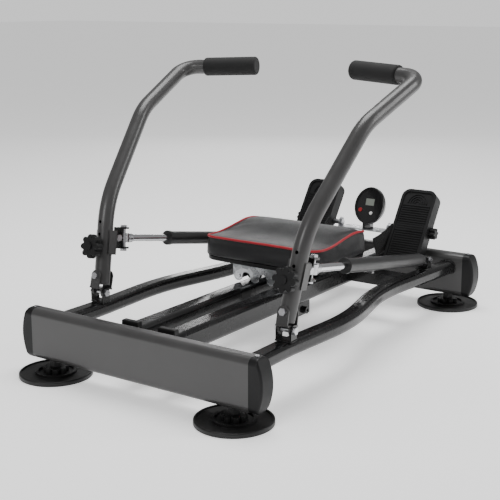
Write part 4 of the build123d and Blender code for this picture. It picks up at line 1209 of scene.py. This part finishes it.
@dataclass
class Studio:
    """Pale floor, soft lights and the camera at the photograph's angle."""

    camera_place: Point = (1.4290, -2.1539, 0.8399)
    camera_target: Point = (0.3876, -0.6250, 0.46605)
    lens: float = 76.16
    sensor: float = 36.0
    shift: Pair = (-0.0191, -0.0731)
    view_depth: float = 200.0
    floor_size: float = 60.0
    floor_drop: float = 0.0004
    floor_tone: float = 0.90
    floor_rough: float = 0.9
    floor_glow: float = 0.55
    sky_seen: float = 0.92
    sky_light: float = 0.30
    lamps: Tuple[Lamp, ...] = (
        Lamp("top", (-0.2, 0.5, 3.0), (-0.1, 0.2, 0.0), (1.8, 1.8), 85.0),
        Lamp("key", (-0.2, -3.8, 2.2), (0.0, 0.0, 0.2), (1.6, 1.4), 48.0),
        Lamp("side", (2.7, 1.5, 1.7), (0.0, 0.0, 0.2), (0.5, 2.0), 40.0),
        Lamp("back", (-2.1, 3.2, 1.15), (0.0, 0.1, 0.3), (1.3, 0.3), 9.0),
    )

    def floor(self) -> None:
        """Makes the floor."""
        half = self.floor_size / 2
        flat = ((-half, -half), (half, -half), (half, half), (-half, half))
        corners = [(x, y, -self.floor_drop) for x, y in flat]
        floor = new_object("studio_floor", corners, [], [(0, 1, 2, 3)])
        material = bpy.data.materials.new("floor_paper")
        material.use_nodes = True
        shader = material.node_tree.nodes["Principled BSDF"]
        tone = self.floor_tone
        shader.inputs["Base Color"].default_value = (tone, tone, tone, 1.0)
        shader.inputs["Roughness"].default_value = self.floor_rough
        shader.inputs["Emission Color"].default_value = (1.0, 1.0, 1.0, 1.0)
        shader.inputs["Emission Strength"].default_value = self.floor_glow
        floor.data.materials.append(material)

    def light(self, lamp: Lamp) -> None:
        """Adds one area light, itself hidden from the camera.

        Args:
            lamp: the light.
        """
        data = bpy.data.lights.new(lamp.name, "AREA")
        data.shape = "RECTANGLE"
        data.size, data.size_y = lamp.size
        data.energy = lamp.power
        light = bpy.data.objects.new(lamp.name, data)
        light.visible_camera = False
        bpy.context.scene.collection.objects.link(light)
        light.location = lamp.place
        ahead = Vector(lamp.target) - Vector(lamp.place)
        light.rotation_euler = ahead.to_track_quat("-Z", "Y").to_euler()

    def camera(self) -> None:
        """Adds the camera at the photograph's viewing angle."""
        data = bpy.data.cameras.new("camera")
        data.lens = self.lens
        data.sensor_width = self.sensor
        data.shift_x, data.shift_y = self.shift
        data.clip_end = self.view_depth
        camera = bpy.data.objects.new("camera", data)
        bpy.context.scene.collection.objects.link(camera)
        camera.location = self.camera_place
        ahead = Vector(self.camera_target) - Vector(self.camera_place)
        camera.rotation_euler = ahead.to_track_quat("-Z", "Y").to_euler()
        bpy.context.scene.camera = camera

    def sky(self) -> None:
        """Makes a white world that looks brighter than it lights."""
        world = bpy.data.worlds.new("studio")
        world.use_nodes = True
        nodes, links = world.node_tree.nodes, world.node_tree.links
        sky = nodes["Background"]
        sky.inputs["Color"].default_value = (1.0, 1.0, 1.0, 1.0)
        seen = nodes.new("ShaderNodeLightPath")
        strength = nodes.new("ShaderNodeMapRange")
        strength.inputs["To Min"].default_value = self.sky_light
        strength.inputs["To Max"].default_value = self.sky_seen
        links.new(seen.outputs["Is Camera Ray"], strength.inputs["Value"])
        links.new(strength.outputs["Result"], sky.inputs["Strength"])
        bpy.context.scene.world = world

    def build(self) -> None:
        """Makes the whole studio."""
        self.camera()
        self.floor()
        self.sky()
        for lamp in self.lamps:
            self.light(lamp)


def main() -> None:
    """Builds the whole scene around the frame."""
    logging.basicConfig(level=logging.INFO, format="%(name)s: %(message)s")
    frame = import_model()
    effects = ShaderEffects()
    effects.build()
    shop = PaintShop(effects)
    shop.build()
    repeats = Repeats(shop)
    repeats.build()
    Studio().build()
    CadDress(shop, frame).build()
    SeatPad(shop, repeats, frame).build()
    Straps(shop, repeats, frame).build()
    FootScrews(repeats).build()
    TreadRibs(repeats).build()
    WeldBeads(repeats).build()
    SeatMounts(repeats).build()


if __name__ == "__main__":
    main()
